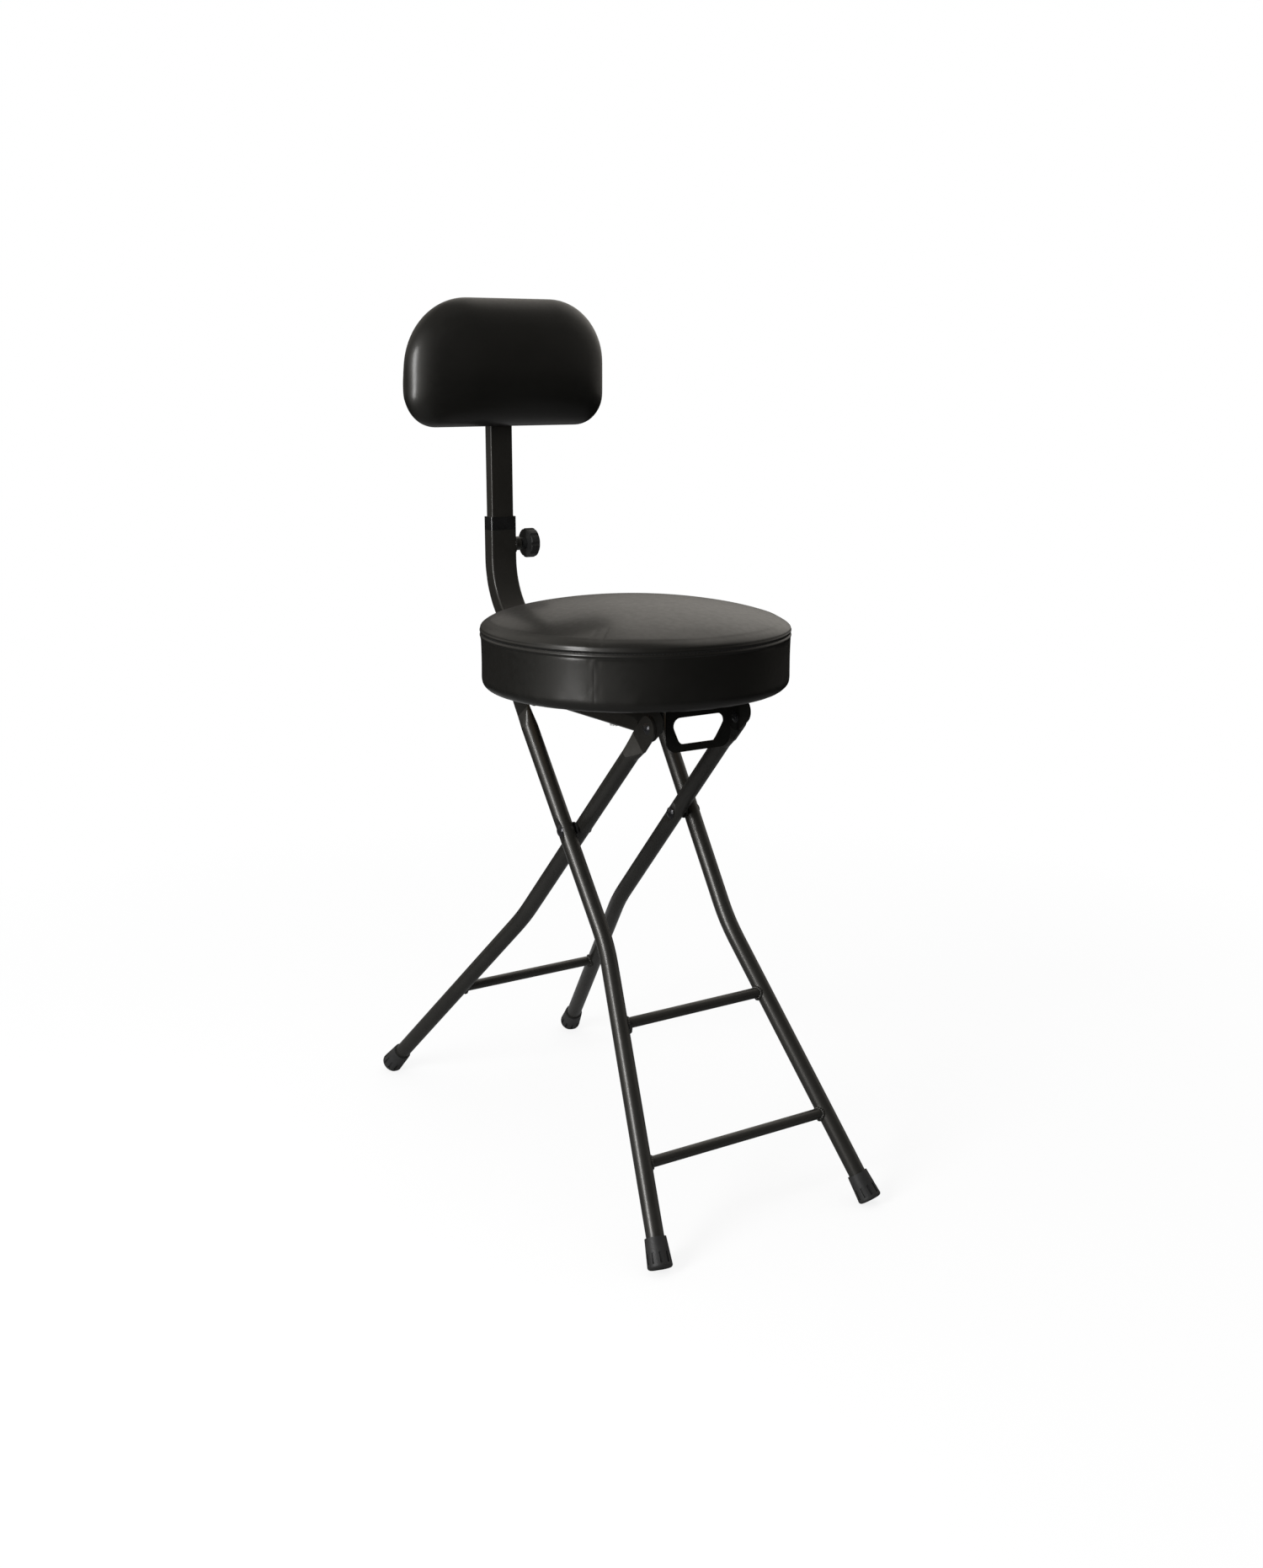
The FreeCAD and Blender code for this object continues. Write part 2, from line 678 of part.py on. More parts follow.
def arm_path():
    """Centre line of the backrest arm, from its socket down, forward and along under the seat."""
    points = [V(0, arm_y, arm_top), V(0, arm_y, arm_bend_z),
              V(0, arm_bend_y, arm_run_z), V(0, arm_end_y, arm_run_z)]
    return Part.Wire(round_corners(points, [arm_upper_bend, arm_lower_bend]))


def backrest_arm():
    """Rectangular tube bent to a J, with holes for its bolts and for the clamp screw."""
    path = arm_path()
    faces = [rectangle(arm_width - 2 * wall, arm_depth - 2 * wall, arm_corner - wall, arm_top, arm_y)
             for wall in (0, arm_wall)]
    outer, inner = [path.makePipeShell([face.OuterWire], True, False) for face in faces]
    holes = [Part.makeCylinder(bolt_radius + running_fit, arm_depth, at, Z_AXIS)
             for at in bolt_places(arm_run_z - arm_depth / 2)]
    clamp_hole = clamp_screw_radius + running_fit
    holes.append(Part.makeCylinder(clamp_hole, arm_width / 2, V(0, arm_y, clamp_z), X_AXIS))
    return outer.cut([inner] + holes)


def arm_bolts():
    """Hexagon bolts up through the arm and the bracket into the tee nuts."""
    low = arm_run_z - arm_depth / 2
    bolts = []
    for at in bolt_places(low):
        corners = [at + V(cos(a), sin(a), 0) * bolt_head_radius for a in range(0, 360, 60)]
        head = polygon(corners).extrude(V(0, 0, -bolt_head_height))
        shank = Part.makeCylinder(bolt_radius, board_top - tee_flange - low, at, Z_AXIS)
        bolts.append(head.fuse(shank))
    return Part.makeCompound(bolts)


def tee_nuts():
    """Tee nuts let into the top of the seat board."""
    nuts = []
    for at in bolt_places(seat_z):
        barrel = Part.makeCylinder(tee_barrel_radius, board_thickness, at, Z_AXIS)
        flange_at = V(at.x, at.y, board_top - tee_flange)
        flange = Part.makeCylinder(tee_flange_radius, tee_flange, flange_at, Z_AXIS)
        bore = Part.makeCylinder(bolt_radius + running_fit, board_thickness, at, Z_AXIS)
        nuts.append(barrel.fuse(flange).cut(bore))
    return Part.makeCompound(nuts)


def post_collar():
    """Plastic collar on the arm's mouth, with a thin liner that guides the post."""
    rim = rectangle(arm_width, arm_depth, arm_corner, arm_top, arm_y).extrude(V(0, 0, collar_height))
    liner_w = arm_width - 2 * arm_wall - 2 * liner_gap
    liner_d = arm_depth - 2 * arm_wall - 2 * liner_gap
    low = arm_top - collar_liner
    liner = rectangle(liner_w, liner_d, arm_corner - arm_wall, low, arm_y).extrude(V(0, 0, collar_liner))
    bore = rectangle(post_width + 2 * slide_gap, post_depth + 2 * slide_gap, post_corner, low, arm_y)
    return rim.fuse(liner).cut(bore.extrude(V(0, 0, collar_liner + collar_height)))


def clamp_nut():
    """Round nut welded to the side of the arm for the clamp screw."""
    at = V(arm_width / 2, arm_y, clamp_z)
    boss = Part.makeCylinder(clamp_boss_radius, clamp_boss_length, at, X_AXIS)
    return boss.cut(Part.makeCylinder(clamp_screw_radius + running_fit, clamp_boss_length, at, X_AXIS))


def knob_grip():
    """Moulded knob: scalloped disc with rounded rims on a hub."""
    at = V(knob_x, arm_y, clamp_z)
    disc = Part.makeCylinder(knob_radius, knob_thickness, at, X_AXIS)
    disc = disc.makeFillet(knob_edge, [edge for edge in disc.Edges if edge.Closed])
    hub = Part.makeCylinder(knob_hub_radius, knob_hub_length, at - X_AXIS * knob_hub_length, X_AXIS)
    ring = knob_radius + knob_scallop_radius - knob_scallop_bite
    scallops = []
    for index in range(knob_scallops):
        angle = index * 360 / knob_scallops
        centre = at + V(0, cos(angle), sin(angle)) * ring
        scallops.append(Part.makeCylinder(knob_scallop_radius, knob_thickness, centre, X_AXIS))
    depth = knob_hub_length + knob_thickness / 2
    bore = Part.makeCylinder(clamp_screw_radius + running_fit, depth, at - X_AXIS * knob_hub_length, X_AXIS)
    return disc.fuse(hub).cut(scallops + [bore]).removeSplitter()


def knob_screw():
    """Clamp screw from inside the knob to the side of the post."""
    tip = post_width / 2 + slide_gap
    end = knob_x + knob_thickness / 2
    return Part.makeCylinder(clamp_screw_radius, end - tip, V(tip, arm_y, clamp_z), X_AXIS)


def pad_outline(inset, y):
    """Outline of the backrest pad, drawn in by an inset, as a face in an upright plane."""
    half = pad_width / 2 - inset
    low = pad_bottom + inset
    high = pad_bottom + pad_height - inset
    share = (high - low) / pad_height
    top = pad_top_corner * share
    bottom = pad_bottom_corner * share
    points = [V(half, y, low), V(half, y, high), V(-half, y, high), V(-half, y, low)]
    return rounded_face(points, [bottom, top, top, bottom])


def backrest_cushion():
    """Backrest pad: edge rolled back to the board and a crowned front, with a pocket for the board."""
    widest = pad_back - pad_back_depth
    angles = [90 * index / pad_sections for index in range(pad_sections + 1)]
    power = 2 / pad_fullness
    sections = []
    for angle in angles[:0:-1]:
        inset = pad_back_inset * (1 - cos(angle) ** power)
        sections.append(pad_outline(inset, widest + pad_back_depth * sin(angle) ** power).OuterWire)
    for angle in angles:
        inset = pad_crown_inset * (1 - cos(angle) ** power)
        sections.append(pad_outline(inset, widest - pad_front_depth * sin(angle) ** power).OuterWire)
    body = Part.makeLoft(sections, True, False)
    pocket = pad_outline(pad_board_inset - soft_gap, pad_back).extrude(V(0, -pad_board_thickness, 0))
    return body.cut(pocket)


def backrest_board():
    """Board behind the backrest padding, drilled for its two screws."""
    board = pad_outline(pad_board_inset, pad_back).extrude(V(0, -pad_board_thickness, 0))
    return board.cut([Part.makeCylinder(pad_screw_radius + running_fit, pad_board_thickness, at, -Y_AXIS)
                      for at in pad_screw_places(pad_back)])


def pad_screw_places(y):
    """Places of the screws through the post into the backrest board."""
    return [V(0, y, pad_bottom + height) for height in pad_screw_heights]


def backrest_post():
    """Upright rectangular tube that slides in the arm, drilled for the pad's screws."""
    tube = rectangular_tube(post_width, post_depth, post_wall, post_corner, post_bottom, post_top, arm_y)
    return tube.cut([Part.makeCylinder(pad_screw_radius + running_fit, post_depth, at, Y_AXIS)
                     for at in pad_screw_places(pad_back)])


def post_cap():
    """Plastic plug in the top of the post."""
    cap = rectangle(post_width, post_depth, post_corner, post_top, arm_y).extrude(V(0, 0, post_cap_height))
    bore = 2 * (post_wall + liner_gap)
    low = post_top - post_plug_length
    plug = rectangle(post_width - bore, post_depth - bore, post_corner / 2, low, arm_y)
    return cap.fuse(plug.extrude(V(0, 0, post_plug_length)))


def backrest_screws():
    """Domed screws from behind the post into the backrest board."""
    screws = []
    for at in pad_screw_places(pad_back + post_depth):
        shank = Part.makeCylinder(pad_screw_radius, post_depth + pad_board_thickness, at, -Y_AXIS)
        head = rivet_head(pad_screw_head_radius, pad_screw_head_height, at, Y_AXIS)
        screws.append(shank.fuse(head).removeSplitter())
    return Part.makeCompound(screws)


def build():
    """Make every piece in the frame whose y = 0 is under the leg pivot."""
    rear = LegFrame(rear_pivot_x, rear_tilt, rear_tilt, rear_lean, rear_splay,
                    rear_bend_down, hinge_up, flat_half_width)
    front = LegFrame(front_pivot_x, front_tilt, -front_tilt, front_lean, front_splay,
                     front_bend_down, catch_up, catch_end_radius)
    pieces = {}
    for name, frame, outward, pivot_hole, end_hole in (
            ("rear", rear, -1, pivot_rivet_radius + running_fit, hinge_rivet_radius + running_fit),
            ("front", front, 1, pivot_rivet_radius + running_fit, catch_shank_radius + running_fit)):
        leg = frame.leg(outward, pivot_hole, end_hole)
        foot = frame.foot()
        for side, sign in SIDES.items():
            leg_side = leg if sign > 0 else leg.mirror(ORIGIN, X_AXIS)
            foot_side = foot if sign > 0 else foot.mirror(ORIGIN, X_AXIS)
            pieces[name + "_leg_" + side] = frame.stand(leg_side)
            pieces[name + "_foot_" + side] = flat_on_floor(frame.stand(foot_side))
    pieces["rear_rung"] = rear.stand(rear.rung(rear_rung_down))
    pieces["front_rung_upper"] = front.stand(front.rung(front_rungs_down[0]))
    pieces["front_rung_lower"] = front.stand(front.rung(front_rungs_down[1]))
    pieces["pivot_rivets"] = Part.makeCompound(mirror_pair(pivot_rivets(rear, front)))
    pieces["pivot_washers"] = Part.makeCompound(mirror_pair(pivot_washer(rear)))
    pieces["hinge_rivets"] = Part.makeCompound(mirror_pair(hinge_rivet()))
    pieces["catch_pins"] = Part.makeCompound(mirror_pair(catch_pin()))
    for maker in (hinge_bracket, catch_bracket, bracket_screws, seat_board, seat_cushion,
                  backrest_arm, arm_bolts, tee_nuts, post_collar, clamp_nut, knob_grip, knob_screw,
                  backrest_post, post_cap, backrest_board, backrest_cushion, backrest_screws):
        pieces[maker.__name__] = maker()
    return pieces


def main():
    """Centre the footprint on the origin, write the pieces and print the places that joints need."""
    pieces = build()
    toe = pieces["front_foot_left"].optimalBoundingBox(False).YMin
    heel = pieces["rear_foot_left"].optimalBoundingBox(False).YMax
    shift = V(0, -(toe + heel) / 2, 0)
    os.makedirs("parts", exist_ok=True)
    for name, shape in pieces.items():
        shape.translate(shift)
        shape.exportStep("parts/" + name + ".step")
        box = shape.optimalBoundingBox(False)
        print("%-18s solids %d valid %s volume %9.0f  y %7.1f %7.1f  z %7.1f %7.1f" % (
            name, len(shape.Solids), shape.isValid(), shape.Volume, box.YMin, box.YMax, box.ZMin, box.ZMax))
    print("pivot y %.3f z %.3f" % (shift.y, pivot_height))
    print("hinge y %.3f z %.3f" % (hinge_y + shift.y, hinge_z))
    print("catch y %.3f z %.3f" % (catch_y + shift.y, catch_z))
    print("clamp y %.3f z %.3f" % (arm_y + shift.y, clamp_z))


main()
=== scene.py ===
"""Dress a folding guitar stool: paint, vinyl, rubber, seams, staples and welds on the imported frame."""

import logging
import math
from dataclasses import dataclass, field
from enum import Enum
from functools import cache
from typing import Iterable, Sequence

import bpy
import numpy as np
from mathutils import Euler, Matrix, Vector


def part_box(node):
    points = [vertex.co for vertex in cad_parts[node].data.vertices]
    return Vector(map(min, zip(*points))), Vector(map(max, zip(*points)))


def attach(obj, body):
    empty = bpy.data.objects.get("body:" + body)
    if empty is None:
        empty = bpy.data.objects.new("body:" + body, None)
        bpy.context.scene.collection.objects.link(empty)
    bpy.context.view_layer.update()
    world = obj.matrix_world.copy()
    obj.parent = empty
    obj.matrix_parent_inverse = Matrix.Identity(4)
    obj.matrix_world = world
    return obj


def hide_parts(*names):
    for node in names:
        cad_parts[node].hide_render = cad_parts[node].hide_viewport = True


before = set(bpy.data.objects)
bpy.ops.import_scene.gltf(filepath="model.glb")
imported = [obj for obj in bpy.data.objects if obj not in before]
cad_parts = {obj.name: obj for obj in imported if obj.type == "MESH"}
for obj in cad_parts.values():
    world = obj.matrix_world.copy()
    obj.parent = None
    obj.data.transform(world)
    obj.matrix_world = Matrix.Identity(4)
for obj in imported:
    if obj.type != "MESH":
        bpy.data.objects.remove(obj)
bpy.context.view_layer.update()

LOG = logging.getLogger("guitar_stool")
MM = 0.001
GOLDEN_ANGLE = math.pi * (3.0 - math.sqrt(5.0))

Colour = tuple[float, float, float]
Span = tuple[float, float]
Counts = tuple[int, ...]
Socket = bpy.types.NodeSocket
Material = bpy.types.Material
Mesh = bpy.types.Mesh
Piece = bpy.types.Object

BLACK = (0.0, 0.0, 0.0)
WHITE = (1.0, 1.0, 1.0)
NOISE_RANGE = (0.3, 0.7)
WAVE_PEAK = 1.4
TINY = 1e-9


class Body(str, Enum):
    """Bodies of the frame that the pieces ride on."""

    REAR_FRAME = "rear_frame"
    FRONT_FRAME = "front_frame"
    SEAT = "seat"
    BACKREST = "backrest"


class Slot(str, Enum):
    """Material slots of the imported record."""

    FRAME_PAINT = "frame_paint"
    ZINC_STEEL = "zinc_steel"
    VINYL = "vinyl_cover"


def smoothstep(low: float, high: float, value: np.ndarray) -> np.ndarray:
    """Rise from 0 at low to 1 at high, with level ends: 3t^2 - 2t^3 of the clipped share t."""
    share = np.clip((value - low) / (high - low), 0.0, 1.0)
    return share * share * (3.0 - 2.0 * share)


@dataclass(frozen=True)
class Waves:
    """Uneven waves round a closed edge: sines of whole counts, each turned by its own golden angle."""

    depth: float
    counts: Counts

    def at(self, angle: np.ndarray) -> np.ndarray:
        """Heights at angles round the edge, about from minus to plus the depth."""
        counts = np.asarray(self.counts, float)[:, None]
        waves = np.sin(counts * angle[None, :] + GOLDEN_ANGLE * counts ** 2)
        return self.depth * waves.sum(axis=0) / math.sqrt(len(counts)) / WAVE_PEAK

    def outward(self, angle: np.ndarray) -> np.ndarray:
        """Heights at angles, moved up to start from zero."""
        return (self.depth + self.at(angle)) / 2


@dataclass(frozen=True)
class Bell:
    """Bell-shaped rise: its height times e^-t^2, with t the distance from its middle over its width."""

    middle: float
    width: float
    height: float

    def at(self, place: np.ndarray | float) -> np.ndarray | float:
        """Rise at a place."""
        return self.height * np.exp(-((place - self.middle) / self.width) ** 2)


class NodeGraph:
    """Node tree, with short ways to add, set and join its nodes."""

    def __init__(self, tree: bpy.types.NodeTree) -> None:
        """Empty the tree and give it a source of coordinates."""
        self.tree = tree
        self.tree.nodes.clear()
        self.place = self.add("ShaderNodeTexCoord")

    def add(self, kind: str, values: dict | None = None) -> bpy.types.Node:
        """Add a node and set some of its inputs, by name."""
        node = self.tree.nodes.new(kind)
        for name, value in (values or {}).items():
            node.inputs[name].default_value = value
        return node

    def join(self, source: Socket, target: Socket) -> None:
        """Link two sockets."""
        self.tree.links.new(source, target)

    def put(self, value: Socket | float | tuple[float, ...], target: Socket) -> None:
        """Link a socket to an input, or set the input to a fixed value."""
        if isinstance(value, Socket):
            self.join(value, target)
        else:
            target.default_value = value

    def maths(self, operation: str, *values: Socket | float | Colour, kind: str = "Math") -> Socket:
        """Work on one or two values."""
        node = self.add(f"ShaderNode{kind}")
        node.operation = operation
        for value, target in zip(values, node.inputs):
            self.put(value, target)
        return node.outputs["Value"]

    def measure(self, operation: str, vector: Socket, other: Colour) -> Socket:
        """Make one number of a vector and a fixed one, such as their distance."""
        return self.maths(operation, vector, other, kind="VectorMath")

    def rays(self) -> tuple[Socket, Socket, Socket]:
        """Whether a ray is the eye's, also through glass, one of a reflection or a scattered one."""
        kinds = self.add("ShaderNodeLightPath").outputs
        eye = self.maths("MAXIMUM", kinds["Is Camera Ray"], kinds["Is Transmission Ray"])
        return eye, kinds["Is Glossy Ray"], kinds["Is Diffuse Ray"]

    def mix(self, factor: Socket, first: Socket | float, second: Socket | float) -> Socket:
        """Go from one value to another by a factor."""
        node = self.add("ShaderNodeMix")
        for name, value in (("Factor", factor), ("A", first), ("B", second)):
            self.put(value, node.inputs[name])
        return node.outputs["Result"]

    def blend(self, factor: Socket, first: Colour, second: Colour) -> Socket:
        """Mix two colours by a factor."""
        node = self.add("ShaderNodeMix")
        node.data_type = "RGBA"
        colours = [socket for socket in node.inputs if socket.type == "RGBA"]
        colours[0].default_value = (*first, 1.0)
        colours[1].default_value = (*second, 1.0)
        self.join(factor, node.inputs["Factor"])
        return next(socket for socket in node.outputs if socket.type == "RGBA")

    def spread(self, value: Socket, low: float, high: float, source: Span = NOISE_RANGE,
               smooth: bool = False) -> Socket:
        """Map a pattern's range onto another, clipped at its ends.

        Args:
            value: The pattern.
            low: Lower end of the new range.
            high: Upper end of the new range.
            source: Range of the pattern.
            smooth: Whether it levels out at its ends.

        Returns:
            The mapped value.
        """
        node = self.add("ShaderNodeMapRange", {"From Min": source[0], "From Max": source[1],
                                               "To Min": low, "To Max": high})
        if smooth:
            node.interpolation_type = "SMOOTHSTEP"
        self.join(value, node.inputs["Value"])
        return node.outputs["Result"]


class Surface(NodeGraph):
    """Node tree of one material: a shader, patterns in the object's coordinates and layers of relief."""

    def __init__(self, name: str) -> None:
        """Start a material with one shader joined to its output."""
        self.material = bpy.data.materials.new(name)
        self.material.use_nodes = True
        super().__init__(self.material.node_tree)
        self.shader = self.add("ShaderNodeBsdfPrincipled")
        output = self.add("ShaderNodeOutputMaterial")
        self.join(self.shader.outputs["BSDF"], output.inputs["Surface"])
        self.relief: Socket | None = None

    def noise(self, size: float, stretch: Colour = WHITE, detail: float = 4.0) -> Socket:
        """Noise in the object's own coordinates.

        Args:
            size: Size of one feature, in metres.
            stretch: Scale of the coordinates along each axis, below 1 to draw the pattern out.
            detail: Number of finer layers.

        Returns:
            The noise, from 0 to 1.
        """
        mapping = self.add("ShaderNodeMapping", {"Scale": stretch})
        node = self.add("ShaderNodeTexNoise", {"Scale": 1.0 / size, "Detail": detail})
        self.join(self.place.outputs["Object"], mapping.inputs["Vector"])
        self.join(mapping.outputs["Vector"], node.inputs["Vector"])
        return node.outputs["Fac"]

    def bump(self, height: Socket, depth: float, strength: float = 1.0) -> None:
        """Add one layer of relief, on top of the layers that are there."""
        node = self.add("ShaderNodeBump", {"Strength": strength, "Distance": depth})
        self.join(height, node.inputs["Height"])
        if self.relief is not None:
            self.join(self.relief, node.inputs["Normal"])
        self.relief = node.outputs["Normal"]
        self.feed("Normal", self.relief)

    def feed(self, name: str, value: Socket | float | tuple[float, ...]) -> None:
        """Link or set an input of the shader."""
        self.put(value, self.shader.inputs[name])


@dataclass(frozen=True)
class Coating:
    """Finish with layers of relief, a colour and gloss that vary a little and a narrower gloss on top.

    Each layer of relief is the size of its grains and its depth, in millimetres.
    """

    name: str
    dark: Colour
    light: Colour
    roughness: Span
    relief: tuple[Span, ...]
    patch: float = 45 * MM
    mottle: float = 1.0 / 9.0
    metallic: float = 0.0
    specular: float = 0.5
    tint: Colour = WHITE
    coat: float = 0.0
    coat_roughness: float = 0.12

    @cache
    def material(self) -> Material:
        """Build the finish, once for all its pieces.

        Returns:
            A material with uneven colour, uneven gloss and relief.
        """
        graph = Surface(self.name)
        patches = graph.noise(self.patch)
        graph.feed("Base Color", graph.blend(graph.spread(patches, 0.0, 1.0), self.dark, self.light))
        graph.feed("Roughness", graph.spread(graph.noise(self.patch * self.mottle), *self.roughness))
        for size, depth in self.relief:
            graph.bump(graph.noise(size * MM), depth * MM)
        graph.feed("Metallic", self.metallic)
        graph.feed("Specular IOR Level", self.specular)
        graph.feed("Specular Tint", (*self.tint, 1.0))
        graph.feed("Coat Weight", self.coat)
        graph.feed("Coat Roughness", self.coat_roughness)
        return graph.material


@dataclass(frozen=True)
class Plywood:
    """Board finish: grain drawn out along one axis, with the plies showing on the edges."""

    name: str
    pale: Colour
    deep: Colour
    ply: float = 1.5 * MM
    grain: float = 5 * MM
    roughness: Span = (0.55, 0.72)
    along_grain: Colour = (0.12, 1.0, 1.0)
    along_plies: Colour = (0.01, 0.01, 1.0)
    relief: float = 0.15 * MM
    relief_strength: float = 0.6

    @cache
    def material(self) -> Material:
        """Build the finish, once for all its pieces.

        Returns:
            A material whose faces show grain and whose edges show thin plies.
        """
        graph = Surface(self.name)
        grain = graph.noise(self.grain, self.along_grain)
        layers = graph.noise(self.ply, self.along_plies)
        facing = graph.add("ShaderNodeSeparateXYZ")
        graph.join(graph.place.outputs["Normal"], facing.inputs["Vector"])
        figure = graph.mix(graph.maths("ABSOLUTE", facing.outputs["Z"]), layers, grain)
        graph.feed("Base Color", graph.blend(graph.spread(figure, 0.0, 1.0), self.pale, self.deep))
        graph.feed("Roughness", graph.spread(figure, *self.roughness))
        graph.bump(figure, self.relief, self.relief_strength)
        return graph.material


WARM = (1.0, 0.97, 0.92)
POWDER_COAT = Coating("satin_powder_coat", (0.0100, 0.0097, 0.0085), (0.0145, 0.0141, 0.0125), (0.40, 0.48),
                      ((1.6, 0.004), (0.3, 0.001)), tint=WARM, coat=0.45, coat_roughness=0.25)
ARM_PAINT = Coating("satin_arm_paint", (0.0090, 0.0083, 0.0068), (0.0122, 0.0113, 0.0095), (0.44, 0.52),
                    ((2.0, 0.003), (0.3, 0.001)), tint=WARM, coat=0.35, coat_roughness=0.16)
SHEET_PAINT = Coating("sheet_metal_paint", (0.0045, 0.0045, 0.0040), (0.0074, 0.0074, 0.0066), (0.36, 0.46),
                      ((2.2, 0.006), (0.3, 0.001)), specular=0.30, tint=WARM, coat=0.08)
BLACK_VINYL = Coating("black_vinyl", (0.0040, 0.0040, 0.0033), (0.0060, 0.0058, 0.0050), (0.47, 0.54),
                      ((1.3, 0.010), (0.35, 0.003)), patch=60 * MM, tint=WARM,
                      specular=0.38, coat=0.42, coat_roughness=0.22)
RUBBER = Coating("moulded_rubber", (0.014, 0.014, 0.014), (0.024, 0.024, 0.024), (0.46, 0.60),
                 ((1.2, 0.03), (0.25, 0.02)), patch=14 * MM, specular=0.4)
KNOB_PLASTIC = Coating("spark_textured_plastic", (0.011, 0.011, 0.011), (0.018, 0.018, 0.018), (0.44, 0.56),
                       ((0.5, 0.02), (0.2, 0.01)), patch=12 * MM, specular=0.4)
COLLAR_PLASTIC = Coating("glossy_collar_plastic", (0.006, 0.006, 0.006), (0.010, 0.010, 0.010), (0.08, 0.15),
                         ((3.0, 0.006), (0.4, 0.002)), patch=16 * MM, specular=0.45, coat=0.25)
BLACK_OXIDE = Coating("black_oxide_steel", (0.020, 0.020, 0.022), (0.042, 0.042, 0.045), (0.20, 0.32),
                      ((0.9, 0.012), (0.2, 0.004)), patch=9 * MM, metallic=0.6)
ZINC_PLATE = Coating("bright_zinc_plate", (0.50, 0.50, 0.49), (0.63, 0.63, 0.62), (0.24, 0.40),
                     ((1.1, 0.01), (0.2, 0.004)), patch=7 * MM, metallic=1.0)
THREAD = Coating("bonded_thread", (0.010, 0.010, 0.010), (0.020, 0.020, 0.020), (0.45, 0.60),
                 ((0.35, 0.05), (0.12, 0.02)), patch=5 * MM, specular=0.35)
SEAT_PLY = Plywood("seat_plywood", (0.46, 0.33, 0.20), (0.31, 0.20, 0.11))
STAINED_PLY = Plywood("black_stained_plywood", (0.026, 0.023, 0.021), (0.012, 0.011, 0.010))


def grid_faces(rows: int, columns: int, close_rows: bool = False) -> np.ndarray:
    """Quads of a grid whose columns run round a closed loop.

    Args:
        rows: Number of rows of points.
        columns: Number of points in each row; the last is joined to the first.
        close_rows: Whether the last row is joined to the first as well.

    Returns:
        Array of four point numbers per quad.
    """
    row = np.arange(rows if close_rows else rows - 1)[:, None]
    column = np.arange(columns)[None, :]
    after = (column + 1) % columns
    below = (row + 1) % rows
    quads = np.stack([row * columns + column, row * columns + after, below * columns + after,
                      below * columns + column], axis=-1)
    return quads.reshape(-1, 4)


def fan_faces(first: int, columns: int, tip: int) -> np.ndarray:
    """Triangles from a closed row of points, given by its first number, to one point that closes it."""
    column = np.arange(columns)
    return np.stack([first + column, first + (column + 1) % columns, np.full(columns, tip)], axis=-1)


def add_object(name: str, data: bpy.types.ID) -> Piece:
    """Put a mesh, a lamp or a camera into the scene."""
    made = bpy.data.objects.new(name, data)
    bpy.context.scene.collection.objects.link(made)
    return made


def make_piece(name: str, points: np.ndarray, faces: Iterable[np.ndarray], finish: Coating,
               body: Body) -> Piece:
    """Turn points and faces into a smooth piece with its finish, riding on a body.

    Args:
        name: Name of the piece.
        points: Array of points, in metres, in the frame of the stool.
        faces: Arrays of point numbers, each array with faces of one size.
        finish: Finish of the piece.
        body: Body that carries it.

    Returns:
        The new object, at the origin.
    """
    mesh = bpy.data.meshes.new(name)
    polygons = [face for group in faces for face in group.tolist()]
    mesh.from_pydata(points.reshape(-1, 3).tolist(), [], polygons)
    mesh.polygons.foreach_set("use_smooth", np.ones(len(polygons), bool))
    mesh.materials.append(finish.material())
    mesh.update()
    piece = add_object(name, mesh)
    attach(piece, body.value)
    LOG.info("made %s: %d points on %s", name, len(mesh.vertices), body.value)
    return piece


def read_points(mesh: Mesh) -> np.ndarray:
    """Points of a mesh as an array of three columns."""
    flat = np.empty(len(mesh.vertices) * 3, np.float32)
    mesh.vertices.foreach_get("co", flat)
    return flat.reshape(-1, 3).astype(float)


def write_points(mesh: Mesh, points: np.ndarray) -> None:
    """Put an array of points back into a mesh."""
    mesh.vertices.foreach_set("co", points.astype(np.float32).ravel())
    mesh.update()


def unit(vectors: np.ndarray) -> np.ndarray:
    """Vectors of the same directions and of length one."""
    return vectors / np.linalg.norm(vectors, axis=-1, keepdims=True)


def relax(values: np.ndarray, mesh: Mesh, held: np.ndarray, rounds: int) -> np.ndarray:
    """Even out a field on a mesh: each round moves every free point half way to the mean of its neighbours.

    Args:
        values: One row of numbers per point.
        mesh: Mesh whose edges say which points are neighbours.
        held: True for each point whose value stays zero.
        rounds: Number of rounds.

    Returns:
        The evened field.
    """
    edges = np.empty(len(mesh.edges) * 2, np.int32)
    mesh.edges.foreach_get("vertices", edges)
    first, second = edges[0::2], edges[1::2]
    count = np.bincount(edges, minlength=len(values))[:, None]
    free = ~held[:, None]
    field_now = values * free
    for _ in range(rounds):
        columns = [np.bincount(first, column[second], len(values)) +
                   np.bincount(second, column[first], len(values)) for column in field_now.T]
        field_now = free * 0.5 * (field_now + np.stack(columns, -1) / count)
    return field_now


